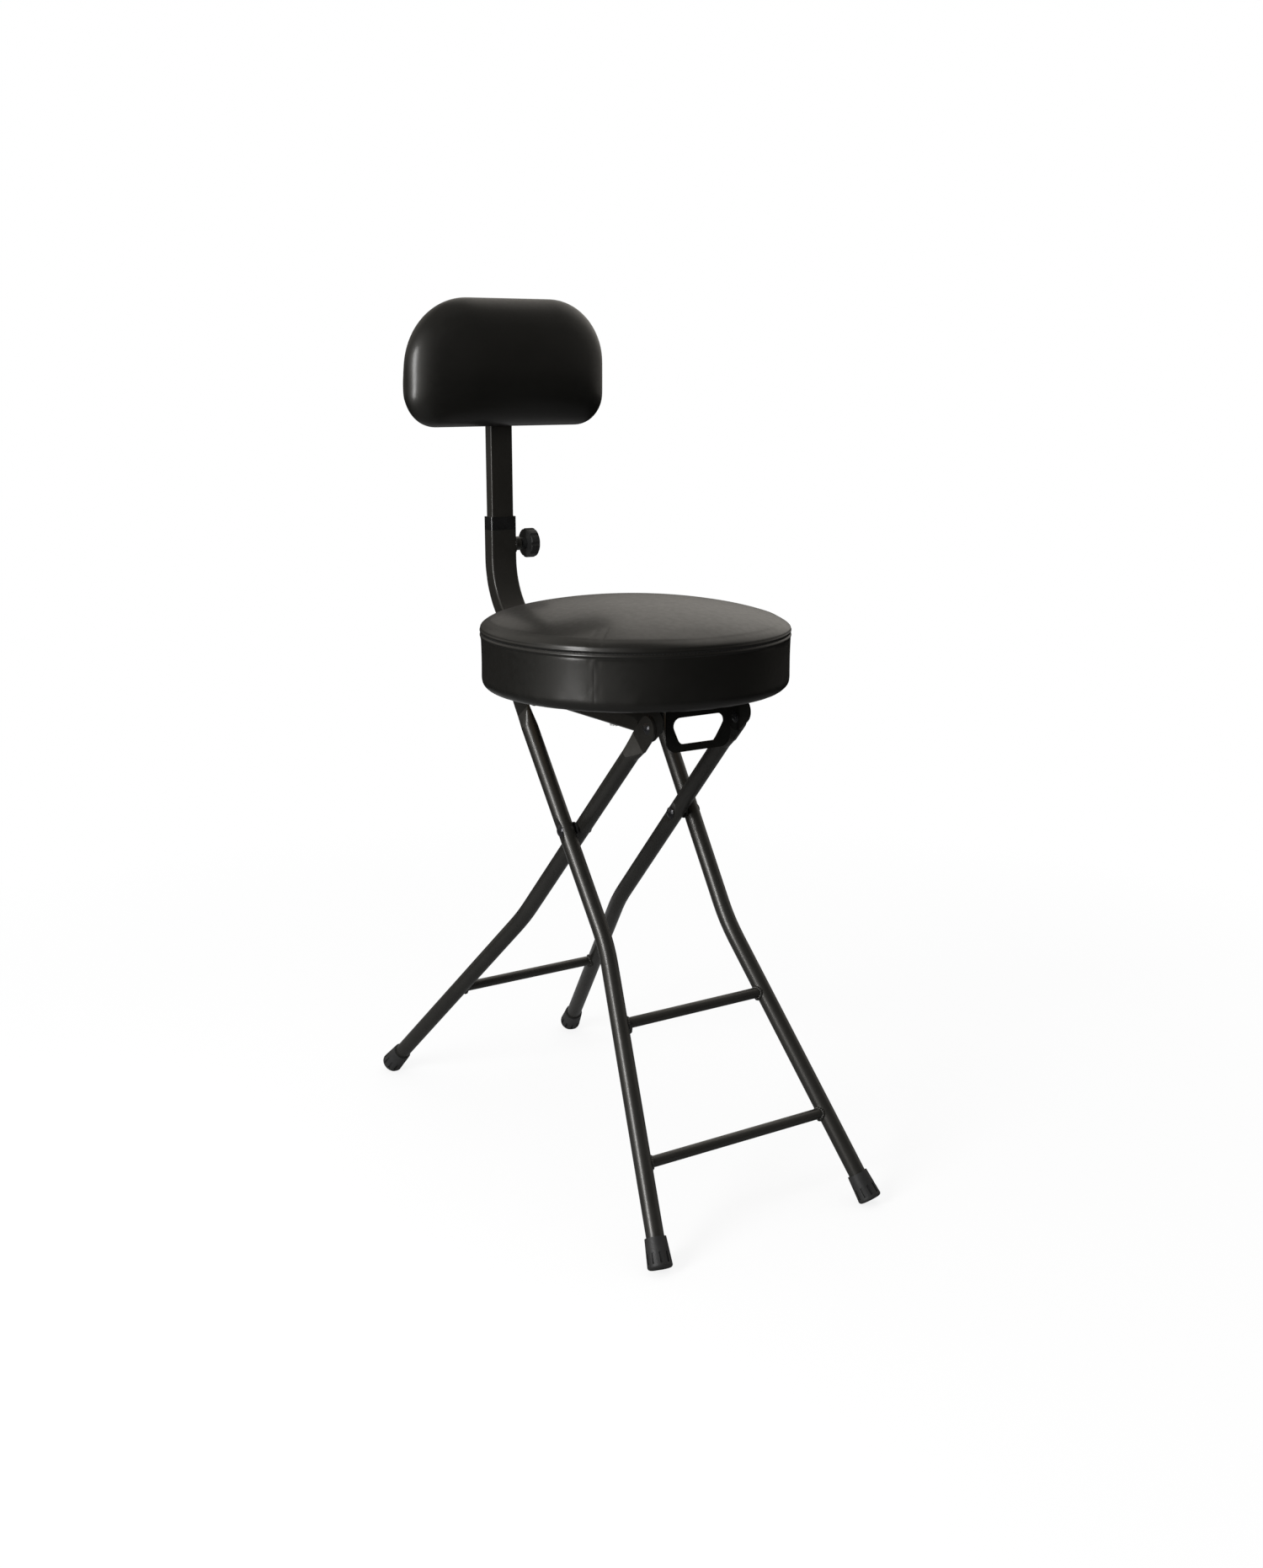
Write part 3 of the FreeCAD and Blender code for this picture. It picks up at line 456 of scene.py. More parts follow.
@dataclass(frozen=True)
class Stuffing:
    """How the foam fills a cover: a short cloth run with inner pressure and no gravity, then evened out."""

    pressure: float
    cap: float
    stiffness: float = 40.0
    steps: int = 6
    frames: int = 20
    rounds: int = 30

    def fill(self, piece: Piece, held: np.ndarray) -> None:
        """Blow the cover up and keep the result as its shape.

        Args:
            piece: Cover to fill.
            held: True for each point that its seams or staples hold in place.
        """
        start = read_points(piece.data)
        group = piece.vertex_groups.new(name="held")
        group.add(np.flatnonzero(held).tolist(), 1.0, "REPLACE")
        cloth = piece.modifiers.new("cover", "CLOTH")
        settings = cloth.settings
        settings.vertex_group_mass = group.name
        settings.use_pressure = True
        settings.uniform_pressure_force = self.pressure
        settings.effector_weights.gravity = 0.0
        settings.quality = self.steps
        for pull in ("tension", "compression", "shear"):
            setattr(settings, f"{pull}_stiffness", self.stiffness)
        cloth.point_cache.frame_start = 1
        cloth.point_cache.frame_end = self.frames
        scene = bpy.context.scene
        for number in range(1, self.frames + 1):
            scene.frame_set(number)
        shaped = piece.evaluated_get(bpy.context.evaluated_depsgraph_get())
        step = relax(read_points(shaped.data) - start, piece.data, held, self.rounds)
        piece.modifiers.remove(cloth)
        piece.vertex_groups.remove(group)
        scene.frame_set(1)
        length = np.linalg.norm(step, axis=1, keepdims=True)
        limit = self.cap * np.tanh(length / self.cap)
        write_points(piece.data, start + step * limit / np.maximum(length, TINY))
        LOG.info("filled %s: moved up to %.1f mm, kept up to %.1f mm", piece.name, length.max() / MM,
                 limit.max() / MM)


@dataclass(frozen=True)
class Bridges:
    """Row of small bent wires that stand on a surface, as stitches and staples do."""

    length: float
    height: float
    radius: float
    squareness: float
    sunk: float = 0.35
    rings: int = 9
    sides: int = 6

    def arrays(self, middles: np.ndarray, along: np.ndarray, outward: np.ndarray) -> tuple[np.ndarray, list]:
        """Points and faces of the row: a wire over t from -1 to 1 whose height falls as 1 - |t|^squareness.

        Args:
            middles: Point on the surface under the middle of each wire.
            along: Unit direction of each wire.
            outward: Unit direction away from the surface at each wire.

        Returns:
            The points, and a list with the array of faces.
        """
        share = np.linspace(-1.0, 1.0, self.rings)[None, :, None, None]
        turn = np.linspace(0.0, 2 * np.pi, self.sides, endpoint=False)[None, None, :, None]
        across = np.cross(along, outward)[:, None, None, :]
        away = outward[:, None, None, :]
        line = middles[:, None, None, :] + along[:, None, None, :] * share * self.length / 2
        rise = self.height * (1.0 - np.abs(share) ** self.squareness) - self.height * self.sunk
        points = line + away * rise + self.radius * (np.cos(turn) * across + np.sin(turn) * away)
        single = grid_faces(self.rings, self.sides)
        base = np.arange(len(middles))[:, None, None] * self.rings * self.sides
        return points.reshape(-1, 3), [(single[None] + base).reshape(-1, 4)]


FOAM = Stuffing(pressure=4.0, cap=2 * MM)
STITCH = Bridges(length=3.0 * MM, height=0.4 * MM, radius=0.25 * MM, squareness=2.0)
STAPLE = Bridges(length=9.0 * MM, height=0.7 * MM, radius=0.45 * MM, squareness=8.0)


def make_cover(name: str, grid: np.ndarray, held: np.ndarray, body: Body) -> Piece:
    """Close a grid with a tip in the middle of its last row, make it a vinyl cover and fill it with foam.

    Args:
        name: Name of the cover.
        grid: Points, rows by columns, whose columns run round a closed loop.
        held: True for each row that is sewn or stapled down.
        body: Body that carries it.

    Returns:
        The cover.
    """
    rows, columns = grid.shape[:2]
    points = np.concatenate([grid.reshape(-1, 3), grid[-1].mean(axis=0)[None]])
    faces = [grid_faces(rows, columns), fan_faces((rows - 1) * columns, columns, rows * columns)]
    cover = make_piece(name, points, faces, BLACK_VINYL, body)
    FOAM.fill(cover, np.append(np.repeat(held, columns), False))
    smooth = cover.modifiers.new("smooth", "SUBSURF")
    smooth.levels = smooth.render_levels = 1
    return cover


@dataclass
class SeatCushion:
    """Round seat cushion: stapled hem, wrapped edge, side band with one sewn join, seam and crowned top."""

    edge_radius: float = 12 * MM
    foot_inset: float = 0.2 * MM
    seam_height: float = 61.3 * MM
    seam_band: float = 5.5 * MM
    ridges: Bell = Bell(2.6 * MM, 1.5 * MM, 0.75 * MM)
    groove: Bell = Bell(0.0, 0.8 * MM, 0.35 * MM)
    shoulder_rise: float = 9.5 * MM
    shoulder_width: float = 20 * MM
    crown_rise: float = 20.3 * MM
    crown_lean: float = 0.9 * MM
    lean_angle: float = math.radians(-33.0)
    side_draw: float = 0.4 * MM
    lean_start: float = 15 * MM
    hem_reach: float = 14 * MM
    hem_thickness: float = 0.9 * MM
    hem_gap: float = 2 * MM
    gathers: Waves = Waves(0.9 * MM, (41, 53, 67))
    gather_reach: Span = (16 * MM, 4 * MM)
    bulges: Waves = Waves(0.35 * MM, (5, 9, 14))
    creases: Waves = Waves(0.45 * MM, (23, 31, 37))
    crease_heights: Span = (2 * MM, 26 * MM)
    columns: int = 180
    join_columns: int = 25
    join_angle: float = math.radians(222.5)
    join_groove: Bell = Bell(0.0, 0.9 * MM, 0.12 * MM)
    join_lips: Bell = Bell(3.2 * MM, 1.6 * MM, 0.042 * MM)
    pucker_depth: float = 0.35 * MM
    pucker_length: float = 1.7 * MM
    pucker_fade: float = 5 * MM
    pucker_heights: Span = (40 * MM, 57 * MM)
    low_pucker: Bell = Bell(24 * MM, 5 * MM, 0.5)
    stitch_pitch: float = 4 * MM
    staples: int = 40
    staple_stray: float = 0.18
    stray_beat: float = 3 * GOLDEN_ANGLE
    staple_lift: float = 0.5 * MM
    row_counts: Counts = (9, 10, 15, 29, 14, 26)
    side_span: Span = (0.06, 0.97)
    shoulder_start: float = 0.10
    crown_start: float = 0.97
    settling: int = 20
    radius: float = field(init=False)
    centre: np.ndarray = field(init=False)

    def __post_init__(self) -> None:
        """Take the place and the size of the cushion from the frame."""
        low, high = (np.array(corner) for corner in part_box("seat_cushion"))
        self.radius = float(high[0] - low[0]) / 2
        self.centre = np.array([(low[0] + high[0]) / 2, (low[1] + high[1]) / 2, low[2]])

    def angles(self) -> np.ndarray:
        """Angles of the grid's columns, even all round, with close ones in place of three at the sewn join.

        Returns:
            Rising angles in radians, starting just before the join.
        """
        spacing = 2 * np.pi / self.columns
        even = self.join_angle + np.arange(2, self.columns - 1) * spacing
        close = self.join_angle + np.linspace(-1.5, 1.5, self.join_columns) * spacing
        return np.concatenate([close, even])

    def profile(self) -> tuple[np.ndarray, np.ndarray]:
        """Section of the cover from the hem under the board, round the edge and over the seam to the crown.

        The lower edge is a quarter circle, the side a shallow inward parabola, the seam two bell-shaped
        ridges with a narrow bell-shaped groove between them, the shoulder an ellipse that stops where it is
        as steep as the crown's edge, and the crown a parabola.

        Returns:
            Radius and height of each row of points, and True for each row that is sewn or stapled down.
        """
        hem_rows, edge_rows, side_rows, seam_rows, shoulder_rows, crown_rows = self.row_counts
        foot = self.radius - self.foot_inset
        board = float(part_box("seat_board")[1][0])
        wrap = foot - self.edge_radius
        hem_r = np.linspace(board - self.hem_reach, wrap - self.hem_gap, hem_rows)
        hem = np.stack([hem_r, -self.hem_thickness * (1 - smoothstep(board, wrap, hem_r))], -1)
        turn = np.linspace(0.0, np.pi / 2, edge_rows)
        edge = np.stack([foot + self.edge_radius * (np.sin(turn) - 1),
                         self.edge_radius * (1 - np.cos(turn))], -1)
        share = np.linspace(*self.side_span, side_rows)
        side_top = self.seam_height - self.seam_band
        side = np.stack([foot + self.foot_inset * share - self.side_draw * 4 * share * (1 - share),
                         self.edge_radius + (side_top - self.edge_radius) * share], -1)
        across = np.linspace(-self.seam_band, self.seam_band, seam_rows)
        seam = np.stack([self.radius + self.ridges.at(np.abs(across)) - self.groove.at(across),
                         self.seam_height + across], -1)
        base = self.seam_height + self.seam_band
        stop = np.pi / 2
        for _ in range(self.settling):
            rim = self.radius - self.shoulder_width * (1 - np.cos(stop))
            stop = np.arctan(self.shoulder_rise * rim / (2 * self.crown_rise * self.shoulder_width))
        bend = np.linspace(self.shoulder_start, stop, shoulder_rows)
        shoulder = np.stack([self.radius - self.shoulder_width * (1 - np.cos(bend)),
                             base + self.shoulder_rise * np.sin(bend)], -1)
        fall = np.linspace(self.crown_start, 0.0, crown_rows + 1)[:-1]
        crown = np.stack([rim * fall, shoulder[-1, 1] + self.crown_rise * (1 - fall ** 2)], -1)
        parts = [hem, edge, side, seam, shoulder, crown]
        sewn = [True, True, False, True, False, False]
        held = np.concatenate([np.full(len(part), flag) for part, flag in zip(parts, sewn)])
        return np.concatenate(parts), held

    def place(self, radius: np.ndarray, angle: np.ndarray, height: np.ndarray) -> np.ndarray:
        """Points at a distance and an angle from the seat's axis, at a height over its underside."""
        flat = np.stack([radius * np.cos(angle), radius * np.sin(angle), height], -1)
        return flat + self.centre

    def points(self, section: np.ndarray, angle: np.ndarray) -> np.ndarray:
        """Cover as a surface of turning, with gathers, an uneven side, the puckered join and a leaning crown.

        Args:
            section: Radius and height of each row.
            angle: Angle of each column.

        Returns:
            Grid of points, rows by columns.
        """
        reach = section[:, :1] * np.ones_like(angle)
        height = section[:, 1:] * np.ones_like(angle)
        outer, inner = (self.radius - gap for gap in self.gather_reach)
        under = (1.0 - smoothstep(outer, inner, reach)) * (height < self.edge_radius)
        height = height - under * self.gathers.outward(angle)
        on_side = smoothstep(0.0, self.edge_radius, height) * (height < self.seam_height - self.seam_band)
        low = 1.0 - smoothstep(*self.crease_heights, height)
        reach = reach + on_side * (self.bulges.at(angle) + low * self.creases.at(angle))
        from_join = self.radius * ((angle - self.join_angle + np.pi) % (2 * np.pi) - np.pi)
        sewn = self.join_lips.at(np.abs(from_join)) - self.join_groove.at(from_join)
        pucker = np.cos(from_join / self.pucker_length) * np.exp(-np.abs(from_join) / self.pucker_fade)
        drawn = smoothstep(*self.pucker_heights, height) + self.low_pucker.at(height)
        reach = reach + on_side * (sewn + self.pucker_depth * pucker * drawn)
        over = smoothstep(self.seam_height, self.seam_height + self.lean_start, height) * reach / self.radius
        height = height - self.crown_lean * over * np.cos(angle - self.lean_angle)
        return self.place(reach, angle * np.ones_like(reach), height)

    def build(self) -> None:
        """Make the cover and put it in place of the plain cushion."""
        section, held = self.profile()
        cushion = make_cover("seat_cover", self.points(section, self.angles()), held, Body.SEAT)
        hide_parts("seat_cushion")

    @staticmethod
    def directions(angle: np.ndarray) -> tuple[np.ndarray, np.ndarray]:
        """Unit directions away from the seat's axis and along its edge, at angles round it."""
        across, along, level = np.cos(angle), np.sin(angle), np.zeros(len(angle))
        return np.stack([across, along, level], -1), np.stack([-along, across, level], -1)

    def sew(self) -> None:
        """Put stitches into the groove of the seam, evenly spaced."""
        count = int(2 * np.pi * self.radius / self.stitch_pitch)
        angle = np.arange(count) * 2 * np.pi / count
        outward, along = self.directions(angle)
        depth = np.full(count, self.radius - self.groove.height)
        middles = self.place(depth, angle, np.full(count, self.seam_height))
        points, faces = STITCH.arrays(middles, along, outward)
        make_piece("seat_stitches", points, faces, THREAD, Body.SEAT)

    def staple_hem(self) -> None:
        """Staple the hem to the board, all round."""
        count = self.staples
        stray = self.staple_stray * np.sin(np.arange(count) * self.stray_beat)
        angle = (np.arange(count) + stray) * 2 * np.pi / count
        board = float(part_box("seat_board")[1][0])
        radius = np.full(count, board - self.hem_reach / 2)
        middles = self.place(radius, angle, np.full(count, -self.hem_thickness - self.staple_lift))
        outward = np.broadcast_to([0.0, 0.0, -1.0], (count, 3))
        points, faces = STAPLE.arrays(middles, self.directions(angle)[1], outward)
        make_piece("seat_staples", points, faces, ZINC_PLATE, Body.SEAT)


@dataclass
class BackrestPad:
    """Backrest pad: rounded outline, rolled sides, crowned front and a stapled hem on its board."""

    top_corner: float = 73 * MM
    left_round: float = 10 * MM
    bottom_corner: float = 38 * MM
    back_depth: float = 13.2 * MM
    back_inset: float = 2.8 * MM
    back_round: float = 14 * MM
    edge_roll: float = 4 * MM
    roll_width: float = 34 * MM
    roll_share: float = 0.48
    overfill: float = 4 * MM
    hem_inset: float = 30 * MM
    hem_thickness: float = 0.9 * MM
    gathers: Waves = Waves(0.8 * MM, (29, 37, 47))
    seam: Bell = Bell(8 * MM, 1.0 * MM, 0.4 * MM)
    spacing: float = 4.5 * MM
    row_counts: Counts = (7, 6, 12, 30)
    corner_points: int = 40
    corner_share: float = 0.96
    edge_start: float = math.radians(15.0)
    front_start: float = 0.10
    front_reach: float = 0.985
    staples: int = 30
    first_staple: int = 2
    staple_inset: float = 0.78
    staple_lift: float = 0.4 * MM
    post_room: float = 8 * MM
    low: np.ndarray = field(init=False)
    high: np.ndarray = field(init=False)

    def __post_init__(self) -> None:
        """Take the place and the size of the pad from the frame."""
        self.low, self.high = (np.array(corner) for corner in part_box("backrest_cushion"))

    def outline(self, inset: float = 0.0, rounder: float = 0.0) -> np.ndarray:
        """Rounded rectangle of the pad seen from the front: four arcs joined by straight runs.

        Args:
            inset: Distance inside the widest outline.
            rounder: What the radius of the top corners grows by.

        Returns:
            Evenly spaced points as x and z, in one turn from the middle of the lower side.
        """
        half = (self.high[0] - self.low[0]) / 2 - inset
        middle = (self.high[0] + self.low[0]) / 2
        bottom = self.low[2] + inset
        top = self.high[2] - inset
        upper = self.top_corner + rounder
        corners = ((half, bottom, self.bottom_corner, -90.0), (half, top, upper, 0.0),
                   (-half, top, upper + self.left_round, 90.0), (-half, bottom, self.bottom_corner, 180.0))
        runs = [np.array([[0.0, bottom]])]
        room = (top - bottom) / (upper + self.left_round + self.bottom_corner)
        for x, z, radius, start in corners:
            radius = radius * min(1.0, self.corner_share * room)
            turn = np.radians(start + np.linspace(0.0, 90.0, self.corner_points))
            centre = [x - math.copysign(radius, x), z + (radius if z == bottom else -radius)]
            runs.append(np.stack([np.cos(turn), np.sin(turn)], -1) * radius + centre)
        path = np.concatenate(runs + [runs[0]])
        steps = np.linalg.norm(np.diff(path, axis=0), axis=1)
        travel = np.concatenate([[0.0], np.cumsum(steps)])
        span = self.high - self.low
        count = int(round(2 * (span[0] + span[2]) / self.spacing))
        even = np.linspace(0.0, travel[-1], count, endpoint=False)
        ring = np.stack([np.interp(even, travel, path[:, 0]), np.interp(even, travel, path[:, 1])], -1)
        return ring + [middle, 0.0]

    @staticmethod
    def depth(points: np.ndarray, ring: np.ndarray) -> np.ndarray:
        """Distance from the nearest run of the outline, positive inside it and negative outside."""
        run = np.roll(ring, -1, axis=0) - ring
        reach = points[:, None] - ring[None]
        share = np.clip(np.sum(reach * run, axis=2) / np.sum(run * run, axis=1), 0.0, 1.0)
        gap = np.linalg.norm(reach - share[:, :, None] * run, axis=2).min(axis=1)
        inside = np.all(run[:, 0] * reach[..., 1] > run[:, 1] * reach[..., 0], axis=1)
        return np.where(inside, gap, -gap)

    def membrane(self, ring: np.ndarray, cell: float = 2.5 * MM,
                 rounds: int = 3000) -> tuple[np.ndarray, np.ndarray, np.ndarray]:
        """Height of an evenly blown-up sheet that is held along the outline.

        The sheet is a grid of heights. In each round every height inside the outline becomes the mean of its
        four neighbours plus one, and each outside goes on below zero at the slope of its neighbours inside,
        so that the sheet passes through zero on the outline itself.

        Args:
            ring: Outline as x and z.
            cell: Spacing of the grid.
            rounds: Number of rounds, enough for the sheet to settle.

        Returns:
            The grid's x values, its z values and the heights, up to 1.
        """
        x, z = (np.arange(low - 2 * cell, high + 3 * cell, cell)
                for low, high in zip(ring.min(axis=0), ring.max(axis=0)))
        spot = np.stack(np.meshgrid(x, z, indexing="ij"), -1)
        level = self.depth(spot.reshape(-1, 2), ring).reshape(spot.shape[:2])
        inside = level > 0.0
        height = np.zeros(level.shape)

        def around(values: np.ndarray) -> np.ndarray:
            """Sum of each grid point's four neighbours."""
            total = np.zeros(values.shape)
            total[1:-1, 1:-1] = values[:-2, 1:-1] + values[2:, 1:-1] + values[1:-1, :-2] + values[1:-1, 2:]
            return total

        inner_neighbours = np.maximum(around(inside.astype(float)), 1.0)
        steepest = np.maximum(level, 0.4 * cell)
        for _ in range(rounds):
            slope = np.where(inside, height / steepest, 0.0)
            height = np.where(inside, around(height) / 4 + 1.0, around(slope) / inner_neighbours * level)
        return x, z, height / height.max()

    def roll(self, points: np.ndarray, ring: np.ndarray) -> np.ndarray:
        """Roll along the edge: a quarter circle, from 0 to 1, over the distance from the outline."""
        left = 1.0 - np.clip(self.depth(points, ring) / self.roll_width, 0.0, 1.0)
        return np.sqrt(1.0 - left ** 2)

    @staticmethod
    def sample(points: np.ndarray, x: np.ndarray, z: np.ndarray, height: np.ndarray) -> np.ndarray:
        """Heights of the sheet at points, mixed from the four grid points round each."""
        u = (points[:, 0] - x[0]) / (x[1] - x[0])
        v = (points[:, 1] - z[0]) / (z[1] - z[0])
        i, j = u.astype(int), v.astype(int)
        u, v = u - i, v - j
        return ((height[i, j] * (1 - u) + height[i + 1, j] * u) * (1 - v) +
                (height[i, j + 1] * (1 - u) + height[i + 1, j + 1] * u) * v)

    def rows(self) -> tuple[np.ndarray, np.ndarray]:
        """Cover from the hem on the back, round the rolled side and over the crowned front.

        The side swells from the back edge to the widest outline as a quarter sine. The front rises from that
        outline as a mix of a roll along the edge and the dome of an evenly blown-up sheet.

        Returns:
            Grid of points, rows by columns, and True for each row that is stapled or sewn down.
        """
        hem_rows, edge_rows, side_rows, front_rows = self.row_counts
        ring = self.outline()
        columns = len(ring)
        back = self.high[1]
        grid: list[np.ndarray] = []

        def add(flat: np.ndarray, y: np.ndarray | float) -> None:
            """Append one row of points."""
            grid.append(np.stack([flat[:, 0], np.broadcast_to(y, columns), flat[:, 1]], -1))

        gathers = self.gathers.outward(np.linspace(0.0, 2 * np.pi, columns, endpoint=False))
        for inset in np.linspace(self.hem_inset, self.back_inset + self.edge_roll, hem_rows):
            gather = gathers * (inset - self.back_inset) / self.hem_inset
            add(self.outline(inset, self.back_round), back + self.hem_thickness + gather)
        for angle in np.linspace(self.edge_start, math.pi / 2, edge_rows):
            inset = self.back_inset + self.edge_roll * (1 - math.sin(angle))
            level = back + self.hem_thickness - self.edge_roll * (1 - math.cos(angle))
            add(self.outline(inset, self.back_round), level)
        start = self.edge_roll - self.hem_thickness
        for depth in np.linspace(start, self.back_depth, side_rows + 1)[1:]:
            share = (depth - start) / (self.back_depth - start)
            taper = 1 - math.sin(share * math.pi / 2)
            inset = self.back_inset * taper + self.seam.at(depth)
            add(self.outline(inset, self.back_round * taper), back - depth)
        front = back - self.back_depth
        rise = front - self.low[1] + self.overfill
        middle = (self.low[[0, 2]] + self.high[[0, 2]]) / 2
        sheet = self.membrane(ring)
        for share in 1.0 - np.cos(np.linspace(self.front_start, np.pi / 2, front_rows)):
            flat = ring + (middle - ring) * share * self.front_reach
            dome = self.sample(flat, *sheet)
            swell = self.roll_share * self.roll(flat, ring) + (1.0 - self.roll_share) * dome
            add(flat, front - rise * swell)
        return np.stack(grid), np.arange(len(grid)) < len(grid) - front_rows

    def build(self) -> None:
        """Make the cover and put it in place of the plain pad."""
        grid, held = self.rows()
        pad = make_cover("backrest_cover", grid, held, Body.BACKREST)
        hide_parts("backrest_cushion")

    def staple_hem(self) -> None:
        """Staple the hem to the board, all round except behind the post."""
        ring = self.outline(self.hem_inset * self.staple_inset, self.back_round)
        ahead = unit(np.roll(ring, -1, axis=0) - np.roll(ring, 1, axis=0))
        pick = np.linspace(0, len(ring), self.staples, endpoint=False).astype(int) + self.first_staple
        flat, along = ring[pick % len(ring)], ahead[pick % len(ring)]
        clear_of_post = np.abs(flat[:, 0]) > float(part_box("backrest_post")[1][0]) + self.post_room
        flat, along = flat[clear_of_post], along[clear_of_post]
        level = np.full(len(flat), self.high[1] + self.hem_thickness + self.staple_lift)
        middles = np.stack([flat[:, 0], level, flat[:, 1]], -1)
        along = np.stack([along[:, 0], np.zeros(len(flat)), along[:, 1]], -1)
        outward = np.broadcast_to([0.0, 1.0, 0.0], (len(flat), 3))
        points, faces = STAPLE.arrays(middles, along, outward)
        make_piece("backrest_staples", points, faces, ZINC_PLATE, Body.BACKREST)


@dataclass
class Welds:
    """Painted weld beads where the cross tubes meet the legs and where the clamp nut meets the arm."""

    bead: float = 1.8 * MM
    sag: float = 0.9
    heavy_sag: float = 3.0
    sag_power: int = 3
    ripple: float = 0.14
    skin: float = 0.985
    pitch: float = 2.2 * MM
    columns: int = 96
    sides: int = 8

    def saddle(self, node: str, side: int) -> np.ndarray:
        """Edge of a cross tube's end, read from its node: the points of its skin, in order round its axis.

        Args:
            node: Name of the cross tube's node.
            side: -1 for the left end, 1 for the right end.

        Returns:
            Points of the closed edge, evenly spaced in angle.
        """
        points = read_points(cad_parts[node].data)
        low, high = (np.array(corner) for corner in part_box(node))
        axis = (low + high) / 2
        radius = (high[2] - low[2]) / 2
        flat = points[:, 1:] - axis[1:]
        outside = (np.hypot(flat[:, 0], flat[:, 1]) > radius * self.skin) & (points[:, 0] * side > 0)
        angle = np.arctan2(flat[outside, 1], flat[outside, 0])
        order = np.argsort(angle)
        even = np.linspace(-np.pi, np.pi, self.columns, endpoint=False)
        along = np.interp(even, angle[order], points[outside, 0][order], period=2 * np.pi)
        return np.stack([along, axis[1] + radius * np.cos(even), axis[2] + radius * np.sin(even)], -1)

    def ring(self, path: np.ndarray, sag: float) -> tuple[np.ndarray, np.ndarray]:
        """Rippled tube along a closed path: its radius swells once in each pitch and sags on the under side.

        Args:
            path: Points of the closed path.
            sag: Share by which the bead is thicker at its lowest place.

        Returns:
            Points and faces of the bead.
        """
        ahead = unit(np.roll(path, -1, axis=0) - np.roll(path, 1, axis=0))
        outward = path - path.mean(axis=0)
        outward = unit(outward - ahead * np.sum(outward * ahead, axis=1, keepdims=True))
        across = np.cross(ahead, outward)
        length = np.linalg.norm(np.roll(path, -1, axis=0) - path, axis=1).sum()
        beat = np.linspace(0.0, 2 * np.pi * round(length / self.pitch), len(path), endpoint=False)
        lowness = np.clip(-outward[:, 2], 0.0, 1.0) ** self.sag_power
        radius = self.bead * (1.0 + self.ripple * np.sin(beat)) * (1.0 + sag * lowness)
        turn = np.linspace(0.0, 2 * np.pi, self.sides, endpoint=False)
        points = path[:, None] + radius[:, None, None] * (
            np.cos(turn)[None, :, None] * outward[:, None] + np.sin(turn)[None, :, None] * across[:, None])
        return points.reshape(-1, 3), grid_faces(len(path), self.sides, close_rows=True)

    def join(self, name: str, paths: Sequence[np.ndarray], body: Body, heavy: int | None = None) -> None:
        """Make one piece of several beads.

        Args:
            name: Name of the piece.
            paths: Closed path of each bead.
            body: Body that carries it.
            heavy: Number of the bead that sags most, if there is one.
        """
        made = [self.ring(path, self.heavy_sag if number == heavy else self.sag)
                for number, path in enumerate(paths)]
        starts = np.cumsum([0] + [len(points) for points, _ in made[:-1]])
        points = np.concatenate([points for points, _ in made])
        faces = [quads + start for (_, quads), start in zip(made, starts)]
        make_piece(name, points, faces, POWDER_COAT, body)

    def build(self) -> None:
        """Make the beads of both frames and of the clamp nut."""
        front, rear = ([self.saddle(node, side) for node in nodes for side in (-1, 1)]
                       for nodes in (("front_rung_upper", "front_rung_lower"), ("rear_rung",)))
        self.join("front_frame_welds", front, Body.FRONT_FRAME, heavy=0)
        self.join("rear_frame_welds", rear, Body.REAR_FRAME)
        low, high = (np.array(corner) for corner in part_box("clamp_nut"))
        turn = np.linspace(0.0, 2 * np.pi, self.columns, endpoint=False)
        radius = (high[2] - low[2]) / 2
        circle = np.stack([np.full_like(turn, low[0]), np.cos(turn) * radius, np.sin(turn) * radius], -1)
        self.join("clamp_nut_weld", [circle + (low + high) / 2 * [0, 1, 1]], Body.SEAT)


@dataclass(frozen=True)
class Hardware:
    """Finishes of the pieces that the frame already shows in their true shape."""

    finishes: tuple[tuple[Coating | Plywood, tuple[str, ...]], ...] = (
        (POWDER_COAT, ("rear_leg_left", "rear_leg_right", "rear_rung", "front_leg_left", "front_leg_right",
                       "front_rung_upper", "front_rung_lower")),
        (ARM_PAINT, ("backrest_arm", "backrest_post", "clamp_nut")),
        (SHEET_PAINT, ("hinge_bracket", "catch_bracket")),
        (BLACK_OXIDE, ("hinge_rivets", "pivot_rivets", "catch_pins", "backrest_screws")),
        (ZINC_PLATE, ("bracket_screws", "arm_bolts", "tee_nuts", "knob_screw")),
        (RUBBER, ("rear_foot_left", "rear_foot_right", "front_foot_left", "front_foot_right")),
        (KNOB_PLASTIC, ("knob_grip", "pivot_washers", "post_cap")),
        (COLLAR_PLASTIC, ("post_collar",)),
        (SEAT_PLY, ("seat_board",)),
        (STAINED_PLY, ("backrest_board",)),
    )

    def dress(self) -> None:
        """Paint every node that stays."""
        for finish, names in self.finishes:
            for name in names:
                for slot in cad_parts[name].material_slots:
                    slot.material = finish.material()
                LOG.info("painted %s with %s", name, finish.name)


@dataclass(frozen=True)
class Lamp:
    """Soft box: a rectangular lamp that faces a point of the stool."""

    name: str
    place: Colour
    size: Span
    power: float
    mirrored: bool = True
    aim: Colour = (0.0, 0.0, 0.55)

    def build(self) -> None:
        """Hang the lamp and turn it to its aim."""
        light = bpy.data.lights.new(self.name, "AREA")
        light.shape = "RECTANGLE"
        light.size, light.size_y = self.size
        light.energy = self.power
        lamp = add_object(self.name, light)
        lamp.visible_glossy = self.mirrored
        lamp.location = self.place
        lamp.rotation_euler = (Vector(self.aim) - Vector(self.place)).to_track_quat("-Z", "Y").to_euler()


